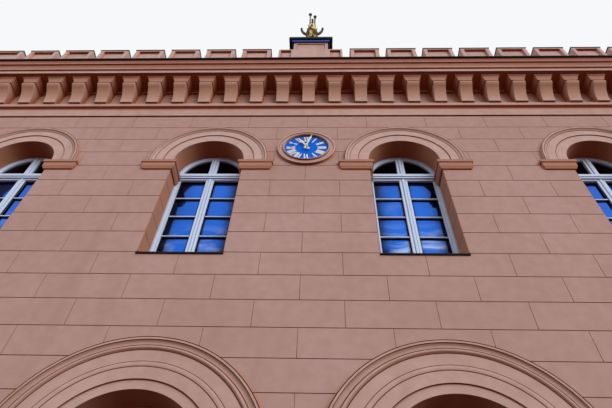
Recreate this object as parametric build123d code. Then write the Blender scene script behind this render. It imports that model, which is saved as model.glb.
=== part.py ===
from build123d import *
import math
import os

# Town hall with rendered masonry walls, two storeys of round-headed openings and a battlement.
# Millimetres, +Z up, origin on the ground at the middle of the plan, front wall facing -Y.
# In every side's own drawing X runs along the wall, Y runs into it from its face, and Z is up.

# Plan
bay = 3600
front_bays = 4
side_bays = 2
corner_margin = 1000
wall_depth = 640
reveal_depth = 360
rebate_width = 90

# Levels
floor_level = 150
plinth_height = 800
course = 450
ground_courses = 14
upper_courses = 9
floor_slab = 260
upper_floor_drop = 1200
ceiling_slab = 220

# Round heads
arch_chords = 12
ground_radius = 900
ground_rise_courses = 7
upper_radius = 650
upper_jamb = 2400
stilt = 60

# Plinth
plinth_projection = 60
plinth_slope = 60

# Mouldings round the heads, each width measured outwards from the opening
ground_inner = 120
ground_fascia = 240
ground_hollow = 285
ground_fillet = 40
ground_inner_projection = 45
ground_fascia_projection = 60
ground_projection = 90
upper_inner = 190
upper_fascia = 155
upper_hollow = 45
upper_fillet = 50
upper_projection = 80
step_height = 15
impost_height = 230
impost_foot_height = 155
impost_head_height = 70
impost_foot_projection = 62
impost_projection = 82
impost_extra = 115
impost_clearance = 90

# Window and door joinery
joinery_width = 75
joinery_depth = 60
bottom_rail = 200
mullion = 150
transom = 180
transom_rise = 75
glass_thickness = 8
glass_lap = 30
door_height = 2700
door_bays = 2
leaf_thickness = 50
leaf_lap = 25
leaf_gap = 4
leaf_panels = 3
panel_margin = 110
panel_projection = 12
sill_thickness = 8
sill_overhang = 35
sill_nose_drop = 50
sill_nose_height = 22

# Frieze and console cornice
frieze_height = 280
frieze_projection = 30
necking_height = 145
necking_projection = 95
necking_cove = 35
console_pitch = 565
console_width = 260
console_foot = 138
console_foot_height = 50
console_waist = 215
console_waist_height = 270
console_belly = 390
console_belly_height = 385
console_height = 505
abacus_height = 170
abacus_width = 400
abacus_reach = 420
corona_height = 115
corona_projection = 500
corona_step = 35
cove_height = 150
cove_projection = 565
cyma_height = 145
cyma_projection = 600
cornice_projection = 610
flashing_thickness = 30
flashing_overhang = 45

# Battlement
parapet_setback = 370
parapet_thickness = 300
parapet_base = 740
merlon_height = 770
merlon_width = 705
merlon_gap = 205
pedestal_gap = 205
merlon_border = 110
panel_depth = 35

# Pedestal over the clock
pedestal_half = 795
pedestal_block_half = 437
pedestal_depth = 450
pedestal_block_height = 430
pedestal_cap_overhang = 122
pedestal_cap_height = 100

# Gilded ornament
ornament_sides = 8
ornament_foot_radius = 190
ornament_neck_radius = 90
ornament_neck_height = 280
ornament_cup_radius = 170
ornament_cup_height = 1050
leaf_tip_radius = 40
leaf_tip_height = 1900
stem_radius = 26
stem_foot = 75
tall_stem_height = 2790
tall_stem_side = -72
short_stem_height = 2590
short_stem_side = 72
knob_radius = 50
bead_heights = [2070, 2270]
bead_radius = 38
horn_radius = 34
horn_chords = 5
horn_reach = 300
horn_rise = 520

# Roof
roof_slope = 12
roof_thickness = 120
ridge_width = 240

# Clock
clock_gap = 711
dial_radius = 416
dial_thickness = 30
ring_radius = 546
ring_projection = 86
ring_edge = 65
ring_cove = 45
ring_bead = 26
arbor_radius = 12
arbor_collar = 34
arbor_collar_thickness = 8
arbor_sleeve = 20
arbor_cap = 21
hand_clearance = 0.3
hand_thickness = 6
hand_spacing = 20
hand_standoff = 50
minute_length = 400
minute_foot = 26
minute_shoulder = 42
hour_length = 290
hour_foot = 34
hour_shoulder = 54
hand_shoulder_share = 0.7
tail_width = 18
tail_length = 85
weight_radius = 26
hub_radius = 30
clock_minutes = 2.6
clock_hours = 11

# How far a cutter stands past what it cuts
cutter = 1

# Worked out from the sizes above
half_length = front_bays * bay / 2 + corner_margin
half_depth = side_bays * bay / 2 + corner_margin
sill_level = plinth_height + ground_courses * course
ground_spring = plinth_height + ground_rise_courses * course
ground_sill = plinth_height + course
upper_spring = sill_level + upper_jamb
frieze_level = sill_level + upper_courses * course
console_level = frieze_level + frieze_height + necking_height
cornice_level = console_level + console_height + abacus_height
roof_level = cornice_level + corona_height + cove_height + cyma_height + flashing_thickness
upper_floor_level = sill_level - upper_floor_drop
clock_height = frieze_level - clock_gap - ring_radius
inner_length = half_length - wall_depth
inner_depth = half_depth - wall_depth
parapet_face = cornice_projection - parapet_setback

# Name, bays, turn and distance of each side's face from the middle
sides = [
    ("front", front_bays, 0, half_depth),
    ("back", front_bays, 180, half_depth),
    ("left", side_bays, -90, half_length),
    ("right", side_bays, 90, half_length),
]


def place(shape, turn, distance):
    """Carries a shape drawn on a wall's own face to its side of the building."""
    return Rot(0, 0, turn) * Pos(0, -distance, 0) * shape


def block(x0, x1, y0, y1, z0, z1):
    middle = Pos((x0 + x1) / 2, (y0 + y1) / 2, (z0 + z1) / 2)
    return middle * Box(x1 - x0, y1 - y0, z1 - z0)


def slab(points, y0, y1):
    """A flat outline on X and Z, carried from depth y0 to depth y1."""
    face = make_face(Polyline(*points, close=True))
    plane = Plane((0, y1, 0), x_dir=(1, 0, 0), z_dir=(0, -1, 0))
    return extrude(plane * face, amount=y1 - y0)


def axes(bays):
    """Middle of each bay along a side."""
    return [(i - (bays - 1) / 2) * bay for i in range(bays)]


def is_door(name, x):
    """The doors stand in the bays next to the front's middle."""
    return name == "front" and abs(x) < bay * door_bays / 2


def head_line(radius, drop=0):
    """A round head of equal chords outside its circle, from springing to springing."""
    step = math.pi / arch_chords
    reach = radius / math.cos(step / 2)
    line = [(-radius, -drop)]
    for i in range(arch_chords):
        angle = math.pi - (i + 0.5) * step
        line.append((reach * math.cos(angle), reach * math.sin(angle)))
    line.append((radius, -drop))
    return line


def head_slab(x, spring, radius, y0, y1):
    points = [(x + u, spring + v) for u, v in head_line(radius)]
    return slab(points, y0, y1)


def moulding(x, spring, radius, profile, drop):
    """A moulding run round a head: profile points are (outwards, forwards)."""
    start = Plane((x - radius, 0, spring - drop), x_dir=(-1, 0, 0), z_dir=(0, 0, 1))
    section = start * make_face(Polyline(*profile, close=True))
    line = [(x + u, 0, spring + v) for u, v in head_line(radius, drop)]
    return sweep(section, path=Polyline(*line), transition=Transition.RIGHT)


def ring_round(profile):
    """A band run round all four sides: profile points are (forwards, height)."""
    corner = (half_length, half_depth)
    start = Plane((0, -corner[1], 0), x_dir=(0, -1, 0), z_dir=(-1, 0, 0))
    section = start * make_face(Polyline(*profile, close=True))
    line = [
        (0, -corner[1], 0),
        (-corner[0], -corner[1], 0),
        (-corner[0], corner[1], 0),
        (corner[0], corner[1], 0),
        (corner[0], -corner[1], 0),
        (0, -corner[1], 0),
    ]
    return sweep(section, path=Polyline(*line), transition=Transition.RIGHT)


def write(name, solids):
    """Writes one sub-part; a list becomes like pieces that share the file."""
    shape = solids
    if isinstance(solids, list):
        shape = Compound(children=[s for item in solids for s in item.solids()])
    shape.label = name
    export_step(shape, os.path.join("parts", name + ".step"))


# Masonry

def plinth():
    face = plinth_projection
    profile = [(-wall_depth, 0), (face, 0), (face, plinth_height - plinth_slope), (0, plinth_height)]
    profile.append((-wall_depth, plinth_height))
    base = ring_round(profile)
    for x in axes(front_bays):
        if is_door("front", x):
            gap = block(
                x - ground_radius, x + ground_radius,
                -face - cutter, wall_depth + cutter,
                floor_level, plinth_height + cutter,
            )
            rebate = block(
                x - ground_radius - rebate_width, x + ground_radius + rebate_width,
                reveal_depth, wall_depth + cutter,
                floor_level, plinth_height + cutter,
            )
            base -= place(gap + rebate, 0, half_depth)
    return base


def pier_outline(x0, x1):
    """Plan of a pier between two openings, narrower behind the frames."""
    return [
        (x0, 0), (x1, 0), (x1, reveal_depth), (x1 - rebate_width, reveal_depth),
        (x1 - rebate_width, wall_depth), (x0 + rebate_width, wall_depth),
        (x0 + rebate_width, reveal_depth), (x0, reveal_depth),
    ]


def corner_outline(x0, x1):
    """Plan of the corner pier where a long and a short side meet."""
    inset = wall_depth
    return [
        (0, 0), (x0, 0), (x0, reveal_depth), (x0 - rebate_width, reveal_depth),
        (x0 - rebate_width, inset), (inset, inset), (inset, x1 - rebate_width),
        (reveal_depth, x1 - rebate_width), (reveal_depth, x1), (0, x1),
    ]


def post(points, z0, z1):
    face = make_face(Polyline(*points, close=True))
    return extrude(Plane((0, 0, z0)) * face, amount=z1 - z0)


def piers(radius, z0, z1):
    pieces = []
    for name, bays, turn, distance in sides:
        middles = axes(bays)
        for i in range(bays - 1):
            outline = pier_outline(middles[i] + radius, middles[i + 1] - radius)
            pieces.append(place(post(outline, z0, z1), turn, distance))
    arm = corner_margin + bay / 2 - radius
    for across in (-1, 1):
        for along in (-1, 1):
            points = [
                (across * (half_length - u), along * (half_depth - v))
                for u, v in corner_outline(arm, arm)
            ]
            pieces.append(post(points, z0, z1))
    return pieces


def aprons():
    """Walls under the ground floor windows."""
    pieces = []
    for name, bays, turn, distance in sides:
        for x in axes(bays):
            if not is_door(name, x):
                front = block(
                    x - ground_radius, x + ground_radius, 0, reveal_depth,
                    plinth_height, ground_sill,
                )
                back = block(
                    x - ground_radius - rebate_width, x + ground_radius + rebate_width,
                    reveal_depth, wall_depth, plinth_height, ground_sill,
                )
                pieces.append(place(front + back, turn, distance))
    return pieces


def arcade_wall(name, bays, turn, distance, spring, radius, top):
    """A wall above the springing line, with a round head cut for each opening."""
    ends = distance_along(name)
    wall = block(-ends, ends, 0, wall_depth, spring, top)
    for x in axes(bays):
        wall -= head_slab(x, spring, radius, -cutter, reveal_depth + cutter)
        wall -= block(
            x - radius - rebate_width, x + radius + rebate_width,
            reveal_depth, wall_depth + cutter,
            spring - cutter, spring + radius + rebate_width,
        )
    return place(wall, turn, distance)


def distance_along(name):
    """Half length of a side's wall; short sides stand between the long ones."""
    if name in ("front", "back"):
        return half_length
    return inner_depth


def floor(z0, z1):
    return block(-inner_length, inner_length, -inner_depth, inner_depth, z0, z1)


# Mouldings on the walls

def ground_profile():
    """Inner fascia, broad fascia, hollow and outer fillet: points (outwards, forwards)."""
    fascia = ground_inner
    hollow = fascia + ground_fascia
    fillet = hollow + ground_hollow
    edge = fillet + ground_fillet
    return [
        (0, 0),
        (0, ground_inner_projection),
        (fascia, ground_inner_projection),
        (fascia, ground_fascia_projection),
        (hollow, ground_fascia_projection),
        (hollow + ground_hollow / 2, (ground_fascia_projection + ground_projection) / 2),
        (fillet, ground_projection),
        (edge, ground_projection),
        (edge, 0),
    ]


def upper_profile():
    """Two fascias, a short hollow and an outer fillet."""
    fascia = upper_inner
    hollow = fascia + upper_fascia
    fillet = hollow + upper_hollow
    edge = fillet + upper_fillet
    return [
        (0, 0),
        (0, 2 * step_height),
        (fascia, 2 * step_height),
        (fascia, 3 * step_height),
        (hollow, 3 * step_height),
        (fillet, upper_projection),
        (edge, upper_projection),
        (edge, 0),
    ]


def plain(profile):
    """The same band with a square section, for the sides away from the square."""
    out = profile[-1][0]
    forwards = max(v for u, v in profile)
    return [(0, 0), (0, forwards), (out, forwards), (out, 0)]


def archivolts(spring, radius, profile, drop):
    pieces = []
    for name, bays, turn, distance in sides:
        section = profile if name == "front" else plain(profile)
        for x in axes(bays):
            pieces.append(place(moulding(x, spring, radius, section, drop), turn, distance))
    return pieces


def impost_profile(name, top):
    """Section of an impost block: points are (forwards, height)."""
    low = top - impost_height
    if name != "front":
        return [(0, low), (impost_projection, low), (impost_projection, top), (0, top)]
    return [
        (0, low),
        (impost_foot_projection, low),
        (impost_foot_projection, low + impost_foot_height),
        (impost_projection, top - impost_head_height),
        (impost_projection, top),
        (0, top),
    ]


def impost(hand, radius, reach, profile):
    """One impost block, run from the wall's face round the jamb to the frame."""
    start = Plane((hand * reach, 0, 0), x_dir=(0, -1, 0), z_dir=(-1, 0, 0))
    section = start * make_face(Polyline(*profile, close=True))
    line = [(hand * reach, 0, 0), (hand * radius, 0, 0), (hand * radius, reveal_depth, 0)]
    return sweep(section, path=Polyline(*line), transition=Transition.RIGHT)


def imposts():
    pieces = []
    ground_reach = ground_radius + ground_profile()[-1][0] + impost_extra
    upper_reach = upper_radius + upper_profile()[-1][0] + impost_extra
    kinds = [
        (ground_radius, min(ground_reach, bay / 2 - impost_clearance), ground_spring - stilt),
        (upper_radius, upper_reach, upper_spring - stilt),
    ]
    for name, bays, turn, distance in sides:
        for x in axes(bays):
            for radius, reach, top in kinds:
                for hand in (-1, 1):
                    piece = Pos(x, 0, 0) * impost(hand, radius, reach, impost_profile(name, top))
                    pieces.append(place(piece, turn, distance))
    return pieces


# Joinery

def window_frame(x, spring, radius, sill, foot):
    """A frame board behind the reveal, with its mullion and transom left standing."""
    edge = radius + rebate_width
    clear = radius - joinery_width
    back = reveal_depth + joinery_depth
    board = block(x - edge, x + edge, reveal_depth, back, sill, spring + edge)
    middle = mullion / 2
    for hand in (-1, 1):
        near, far = sorted((x + hand * middle, x + hand * clear))
        board -= block(
            near, far, reveal_depth - cutter, back + cutter, sill + foot, spring - transom,
        )
    return board - fanlight(x, spring, clear, back)


def fanlight(x, spring, clear, back):
    """The two cuts above a transom, left and right of the mullion."""
    middle = mullion / 2
    near, far = reveal_depth - cutter, back + cutter
    cut = head_slab(x, spring, clear, near, far)
    near, far = near - cutter, far + cutter
    cut -= block(x - clear, x + clear, near, far, spring - cutter, spring + transom_rise)
    cut -= block(x - middle, x + middle, near, far, spring, spring + clear + joinery_width)
    return cut


def door_frame(x, spring, radius):
    """The same board over a double door, open below its second transom."""
    edge = radius + rebate_width
    clear = radius - joinery_width
    back = reveal_depth + joinery_depth
    board = block(x - edge, x + edge, reveal_depth, back, floor_level, spring + edge)
    middle = mullion / 2
    lintel = floor_level + door_height
    for hand in (-1, 1):
        near, far = sorted((x + hand * middle, x + hand * clear))
        board -= block(
            near, far, reveal_depth - cutter, back + cutter, lintel + transom, spring - transom,
        )
    gap = block(
        x - clear, x + clear, reveal_depth - cutter, back + cutter, floor_level - cutter, lintel,
    )
    return board - fanlight(x, spring, clear, back) - gap


def glass_sheet(x, spring, radius, low):
    """One pane behind a frame board, lapping its openings."""
    reach = radius - joinery_width + glass_lap
    back = reveal_depth + joinery_depth
    return block(x - reach, x + reach, back, back + glass_thickness, low - glass_lap, spring + reach)


def window_rows():
    """Frames and panes of both storeys, each list carried to its side."""
    rows = {"ground_frames": [], "upper_frames": [], "ground_glass": [], "upper_glass": []}
    for name, bays, turn, distance in sides:
        for x in axes(bays):
            upper = window_frame(x, upper_spring, upper_radius, sill_level, bottom_rail)
            pane = glass_sheet(x, upper_spring, upper_radius, sill_level + bottom_rail)
            rows["upper_frames"].append(place(upper, turn, distance))
            rows["upper_glass"].append(place(pane, turn, distance))
            if is_door(name, x):
                lower = door_frame(x, ground_spring, ground_radius)
                low = floor_level + door_height + transom
            else:
                lower = window_frame(x, ground_spring, ground_radius, ground_sill, bottom_rail)
                low = ground_sill + bottom_rail
            pane = glass_sheet(x, ground_spring, ground_radius, low)
            rows["ground_frames"].append(place(lower, turn, distance))
            rows["ground_glass"].append(place(pane, turn, distance))
    return rows


def door_leaf(x, hand):
    """A leaf closed against the back of its frame, with raised panels on its face."""
    front = reveal_depth + joinery_depth
    outer = ground_radius - joinery_width + leaf_lap
    near, far = sorted((x + hand * leaf_gap / 2, x + hand * outer))
    top = floor_level + door_height + leaf_lap
    leaf = block(near, far, front, front + leaf_thickness, floor_level, top)
    clear = ground_radius - joinery_width
    left, right = sorted((x + hand * panel_margin, x + hand * (clear - panel_margin)))
    rise = (door_height - panel_margin) / leaf_panels
    for i in range(leaf_panels):
        low = floor_level + panel_margin + i * rise
        leaf += block(left, right, front - panel_projection, front, low, low + rise - panel_margin)
    return leaf


def doors():
    pieces = []
    for x in axes(front_bays):
        if is_door("front", x):
            for hand in (-1, 1):
                pieces.append(place(door_leaf(x, hand), 0, half_depth))
    return pieces


def sill(x, radius, level):
    """A metal sheet in the opening, folded down over the wall's face: points (forwards, height)."""
    low = level - sill_nose_drop
    top = level + sill_thickness
    profile = [
        (0, level),
        (0, low),
        (sill_overhang, low),
        (sill_overhang, low + sill_nose_height),
        (0, top),
        (-reveal_depth, top),
        (-reveal_depth, level),
    ]
    start = Plane((x + radius, 0, 0), x_dir=(0, -1, 0), z_dir=(-1, 0, 0))
    return extrude(start * make_face(Polyline(*profile, close=True)), amount=2 * radius)


def sills():
    pieces = []
    for name, bays, turn, distance in sides:
        for x in axes(bays):
            pieces.append(place(sill(x, upper_radius, sill_level), turn, distance))
            if not is_door(name, x):
                pieces.append(place(sill(x, ground_radius, ground_sill), turn, distance))
    return pieces


# Frieze, consoles and cornice

def frieze():
    z0 = frieze_level
    z1 = z0 + frieze_height
    z2 = z1 + necking_height
    f = frieze_projection
    n = necking_projection
    return ring_round([(0, z0), (f, z0), (f, z1), (n, z1 + necking_cove), (n, z2), (0, z2)])


def console_outline():
    """Side view of a console under its abacus, points (forwards, height)."""
    low = console_level
    return [
        (0, low),
        (console_foot, low),
        (console_foot, low + console_foot_height),
        (console_waist, low + console_waist_height),
        (console_belly, low + console_belly_height),
        (console_belly, low + console_height),
        (0, low + console_height),
    ]


def console(x, splayed):
    start = Plane((x - console_width / 2, 0, 0), x_dir=(0, -1, 0), z_dir=(1, 0, 0))
    outline = [(u, -v) for u, v in console_outline()]
    face = make_face(Polyline(*outline, close=True))
    return extrude(start * face, amount=console_width) + abacus(x, splayed)


def abacus(x, splayed):
    """The slab on a console's head, wider at its top where it is splayed."""
    low = console_level + console_height
    width = console_width
    reach = console_belly
    if not splayed:
        return block(x - width / 2, x + width / 2, -reach, 0, low, low + abacus_height)
    foot = Plane((x, -reach / 2, low)) * Rectangle(width, reach)
    head = Plane((x, -abacus_reach / 2, low + abacus_height)) * Rectangle(abacus_width, abacus_reach)
    return loft([foot, head])


def consoles(name, turn, distance, half):
    """An even row, half a pitch in from each corner."""
    count = round(2 * half / console_pitch)
    pitch = 2 * half / count
    middles = [(i - (count - 1) / 2) * pitch for i in range(count)]
    return [place(console(x, name == "front"), turn, distance) for x in middles]


def cornice():
    """Corona, hollow and top member run round the building over the consoles."""
    corona_top = cornice_level + corona_height
    cove_top = corona_top + cove_height
    top = cove_top + cyma_height
    return ring_round([
        (-wall_depth, cornice_level),
        (corona_projection, cornice_level),
        (corona_projection, corona_top),
        (corona_projection + corona_step, corona_top),
        (cove_projection, cove_top),
        (cyma_projection, cove_top),
        (cornice_projection, top),
        (-wall_depth, top),
    ])


def flashing():
    z0 = roof_level - flashing_thickness
    out = cornice_projection + flashing_overhang
    return ring_round([(parapet_face, z0), (out, z0), (out, roof_level), (parapet_face, roof_level)])


# Battlement

def wall_base(near, far):
    low = roof_level - flashing_thickness
    return block(near, far, 0, parapet_thickness, low, low + parapet_base)


def parapets():
    """Low walls round the roof; the front one stands on both sides of the pedestal."""
    pieces = {}
    for name, bays, turn, distance in sides:
        walls = [wall_base(near, far) for near, far in parapet_runs(name)]
        pieces[name] = [place(wall, turn, distance + parapet_face) for wall in walls]
    return pieces


def parapet_runs(name):
    """Start and end of each stretch of parapet along a side."""
    long_half = half_length + parapet_face
    short_half = half_depth + parapet_face - parapet_thickness
    if name == "front":
        return [(-long_half, -pedestal_half), (pedestal_half, long_half)]
    if name == "back":
        return [(-long_half, long_half)]
    return [(-short_half, short_half)]


def merlon(near, far, panelled):
    """One tooth of the battlement, with a sunk panel in its face on the front."""
    low = roof_level - flashing_thickness + parapet_base
    top = low + merlon_height
    tooth = block(near, far, 0, parapet_thickness, low, top)
    if panelled:
        tooth -= block(
            near + merlon_border, far - merlon_border, -cutter, panel_depth,
            low + merlon_border, top - merlon_border,
        )
    return tooth


def merlons():
    """Teeth on all four sides, those of the front panelled."""
    pieces = []
    for name, bays, turn, distance in sides:
        for near, far in merlon_row(name):
            pieces.append(place(merlon(near, far, name == "front"), turn, distance + parapet_face))
    return pieces


def merlon_row(name):
    """Both ends of each merlon along a side."""
    if name == "front":
        return front_merlons()
    half = half_length + parapet_face
    if name != "back":
        half = half_depth + parapet_face - parapet_thickness - merlon_gap
    count = round((2 * half + merlon_gap) / (merlon_width + merlon_gap))
    pitch = (2 * half - merlon_width) / (count - 1)
    starts = [i * pitch - half for i in range(count)]
    return [(start, start + merlon_width) for start in starts]


def front_merlons():
    """Even teeth out from the pedestal; the last one on each hand runs on to the corner."""
    pitch = merlon_width + merlon_gap
    near = pedestal_half + pedestal_gap
    far = half_length + parapet_face
    count = math.floor((far - near + merlon_gap) / pitch)
    teeth = [(near + i * pitch, near + i * pitch + merlon_width) for i in range(count - 1)]
    teeth.append((near + (count - 1) * pitch, far))
    return [(-b, -a) for a, b in teeth] + teeth


def pedestal():
    """A broad block level with the merlons and a narrow one that stands on it."""
    low = roof_level - flashing_thickness
    shoulder = low + parapet_base + merlon_height
    lower = block(-pedestal_half, pedestal_half, 0, pedestal_depth, low, shoulder)
    for hand in (-1, 1):
        near = hand * (pedestal_half - merlon_border / 2)
        far = hand * (pedestal_block_half + merlon_border / 2)
        lower -= block(
            min(near, far), max(near, far), -cutter, panel_depth,
            low + parapet_base + merlon_border, shoulder - merlon_border,
        )
    upper = block(
        -pedestal_block_half, pedestal_block_half, 0, pedestal_depth,
        shoulder, shoulder + pedestal_block_height,
    )
    return place(lower + upper, 0, half_depth + parapet_face)


def pedestal_top():
    low = roof_level - flashing_thickness
    return low + parapet_base + merlon_height + pedestal_block_height


def pedestal_cap():
    z0 = pedestal_top()
    out = pedestal_cap_overhang
    cap = block(
        -pedestal_block_half - out, pedestal_block_half + out,
        -out, pedestal_depth + out, z0, z0 + pedestal_cap_height,
    )
    return place(cap, 0, half_depth + parapet_face)


# Ornament, drawn about its own axis from the cap's top

def stacked(levels, x=0):
    """A turned shape with few sides, from a list of (radius, height)."""
    sections = [Plane((x, 0, v)) * RegularPolygon(u, ornament_sides) for u, v in levels]
    body = loft([sections[0], sections[1]])
    for low, high in zip(sections[1:], sections[2:]):
        body += loft([low, high])
    return body


def bead(radius, x, height):
    return stacked([(radius / 2, height - radius), (radius, height), (radius / 2, height + radius)], x)


def stem(side, height):
    """A straight stem from the cup to a knob, standing to one side of the axis."""
    foot = ornament_cup_height - stem_foot
    knob = height - knob_radius
    return stacked([(stem_radius, foot), (stem_radius, knob)], side) + bead(knob_radius, side, knob)


def horn(hand):
    """An arm that leaves the cup sideways and turns up to a blunt tip."""
    line = []
    for i in range(horn_chords + 1):
        angle = math.pi / 2 * i / horn_chords
        along = horn_reach * math.sin(angle)
        up = ornament_cup_height + horn_rise * (1 - math.cos(angle))
        line.append((hand * along, 0, up - horn_radius))
    section = Plane(origin=line[0], z_dir=Vector(*line[1]) - Vector(*line[0]))
    return sweep(
        section * RegularPolygon(horn_radius, ornament_sides),
        path=Polyline(*line), transition=Transition.RIGHT,
    )


def ornament():
    """A turned foot and leaf cup, two upright stems with knobs, and two horns."""
    body = stacked([
        (ornament_foot_radius, 0),
        (ornament_neck_radius, ornament_neck_height),
        (ornament_neck_radius, ornament_cup_height - ornament_cup_radius * 2),
        (ornament_cup_radius, ornament_cup_height),
        (leaf_tip_radius, leaf_tip_height),
    ])
    body += stem(tall_stem_side, tall_stem_height)
    body += stem(short_stem_side, short_stem_height)
    r = stem_radius
    body += block(-r, r, -r, r, ornament_cup_height, bead_heights[-1])
    for height in bead_heights:
        body += bead(bead_radius, 0, height)
    for hand in (-1, 1):
        body += horn(hand)
    standing = Pos(0, pedestal_depth / 2, pedestal_top() + pedestal_cap_height) * body
    return place(standing, 0, half_depth + parapet_face)


# Roof

def roof():
    inset = parapet_thickness - parapet_face
    long_half = half_length - inset
    short_half = half_depth - inset
    rise = (short_half - ridge_width / 2) * math.tan(math.radians(roof_slope))
    ridge_half = long_half - short_half + ridge_width / 2
    foot = roof_level - flashing_thickness
    low = Plane((0, 0, foot)) * Rectangle(2 * long_half, 2 * short_half)
    high = Plane((0, 0, foot + rise)) * Rectangle(2 * ridge_half, ridge_width)
    hip = loft([low, high])
    shell = hip - Pos(0, 0, -roof_thickness) * hip
    notch = block(-pedestal_half, pedestal_half, 0, pedestal_depth, foot - cutter, foot + rise)
    return shell - place(notch, 0, half_depth + parapet_face)


# Clock

def turned(profile):
    """A piece turned about the clock's axis: profile points are (radius, forwards)."""
    plane = Plane((0, 0, clock_height), x_dir=(1, 0, 0), z_dir=(0, 0, 1))
    outline = [(u, -v) for u, v in profile]
    face = plane * make_face(Polyline(*outline, close=True))
    axis = Axis((0, 0, clock_height), (0, 1, 0))
    return place(revolve(face, axis=axis, revolution_arc=360), 0, half_depth)


def clock_ring():
    """Inner bead, shallow cove and outer fillet, as one moulding round the dial."""
    inner = dial_radius
    outer = ring_radius
    shoulder = ring_projection - ring_bead / 2
    return turned([
        (inner, 0),
        (inner, shoulder),
        (inner + ring_bead / 2, ring_projection),
        (inner + ring_bead, shoulder),
        (inner + 2 * ring_bead, ring_cove),
        (outer - 2 * ring_bead, ring_cove),
        (outer - ring_bead, ring_edge),
        (outer, ring_edge),
        (outer, 0),
    ])


def clock_dial():
    return turned([
        (arbor_radius, 0),
        (dial_radius, 0),
        (dial_radius, dial_thickness),
        (arbor_radius, dial_thickness),
    ])


def clock_arbor():
    """The fixed spindle, with a collar and sleeve behind the hands and a cap before them."""
    collar = dial_thickness + arbor_collar_thickness
    seat = dial_thickness + hand_standoff - hand_clearance
    tip = dial_thickness + hand_standoff + hand_spacing + hand_thickness + arbor_collar_thickness
    return turned([
        (0, 0),
        (arbor_radius, 0),
        (arbor_radius, dial_thickness),
        (arbor_collar, dial_thickness),
        (arbor_collar, collar),
        (arbor_sleeve, collar),
        (arbor_sleeve, seat),
        (arbor_radius, seat),
        (arbor_radius, tip),
        (arbor_cap, tip),
        (arbor_cap, tip + arbor_collar_thickness),
        (0, tip + arbor_collar_thickness),
    ])


def hand(length, foot, shoulder, turn, forwards):
    """A clock hand about its own bore, lying at an angle clockwise from twelve."""
    widest = length * hand_shoulder_share
    blade = make_face(Polyline(
        (-foot / 2, 0),
        (-shoulder / 2, widest),
        (0, length),
        (shoulder / 2, widest),
        (foot / 2, 0),
        (tail_width / 2, -tail_length),
        (-tail_width / 2, -tail_length),
        close=True,
    ))
    shape = blade + Circle(hub_radius) + Pos(0, -tail_length) * Circle(weight_radius)
    shape -= Circle(arbor_radius + hand_clearance)
    plane = Plane((0, -forwards, clock_height), x_dir=(1, 0, 0), z_dir=(0, -1, 0))
    body = extrude(plane * Rot(0, 0, -turn) * shape, amount=hand_thickness)
    return place(body, 0, half_depth)


def minute_hand():
    forwards = dial_thickness + hand_standoff + hand_spacing
    return hand(minute_length, minute_foot, minute_shoulder, clock_minutes * 6, forwards)


def hour_hand():
    turn = (clock_hours + clock_minutes / 60) * 30
    return hand(hour_length, hour_foot, hour_shoulder, turn, dial_thickness + hand_standoff)


os.makedirs("parts", exist_ok=True)

write("plinth", plinth())
write("ground_piers", piers(ground_radius, plinth_height, ground_spring))
write("ground_aprons", aprons())
write("upper_piers", piers(upper_radius, sill_level, upper_spring))
for name, bays, turn, distance in sides:
    ground = arcade_wall(name, bays, turn, distance, ground_spring, ground_radius, sill_level)
    upper = arcade_wall(name, bays, turn, distance, upper_spring, upper_radius, cornice_level)
    write(name + "_wall_ground", ground)
    write(name + "_wall_upper", upper)
    half = half_length if name in ("front", "back") else half_depth
    write(name + "_consoles", consoles(name, turn, distance, half))
write("ground_floor", floor(0, floor_level))
write("upper_floor", floor(upper_floor_level - floor_slab, upper_floor_level))
write("attic_floor", floor(frieze_level, frieze_level + ceiling_slab))
write("ground_archivolts", archivolts(ground_spring, ground_radius, ground_profile(), stilt))
write("upper_archivolts", archivolts(upper_spring, upper_radius, upper_profile(), stilt))
write("imposts", imposts())
rows = window_rows()
write("ground_frames", rows["ground_frames"])
write("upper_frames", rows["upper_frames"])
write("ground_glass", rows["ground_glass"])
write("upper_glass", rows["upper_glass"])
write("entrance_doors", doors())
write("window_sills", sills())
write("frieze", frieze())
write("cornice", cornice())
write("cornice_flashing", flashing())
for name, walls in parapets().items():
    write(name + "_parapet", walls)
write("merlons", merlons())
write("pedestal", pedestal())
write("pedestal_cap", pedestal_cap())
write("ornament", ornament())
write("roof", roof())
write("clock_ring", clock_ring())
write("clock_dial", clock_dial())
write("clock_arbor", clock_arbor())
write("hour_hand", hour_hand())
write("minute_hand", minute_hand())
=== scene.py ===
import math

import bmesh
import bpy
from mathutils import Matrix, Vector


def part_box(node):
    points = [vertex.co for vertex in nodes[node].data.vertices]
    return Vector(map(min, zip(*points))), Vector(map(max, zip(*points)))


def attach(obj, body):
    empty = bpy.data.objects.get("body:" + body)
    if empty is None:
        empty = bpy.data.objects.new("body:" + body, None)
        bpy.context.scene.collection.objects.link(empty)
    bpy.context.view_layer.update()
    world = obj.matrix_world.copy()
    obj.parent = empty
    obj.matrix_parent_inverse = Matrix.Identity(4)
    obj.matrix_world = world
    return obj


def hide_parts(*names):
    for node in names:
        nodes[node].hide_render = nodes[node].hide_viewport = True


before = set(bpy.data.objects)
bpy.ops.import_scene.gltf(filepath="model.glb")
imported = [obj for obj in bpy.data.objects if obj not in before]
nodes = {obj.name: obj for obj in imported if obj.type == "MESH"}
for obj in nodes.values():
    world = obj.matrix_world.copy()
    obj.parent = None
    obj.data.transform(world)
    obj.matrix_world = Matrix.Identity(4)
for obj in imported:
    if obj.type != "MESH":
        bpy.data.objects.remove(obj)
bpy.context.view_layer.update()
print("frame loaded:", len(nodes), "nodes")

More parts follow.
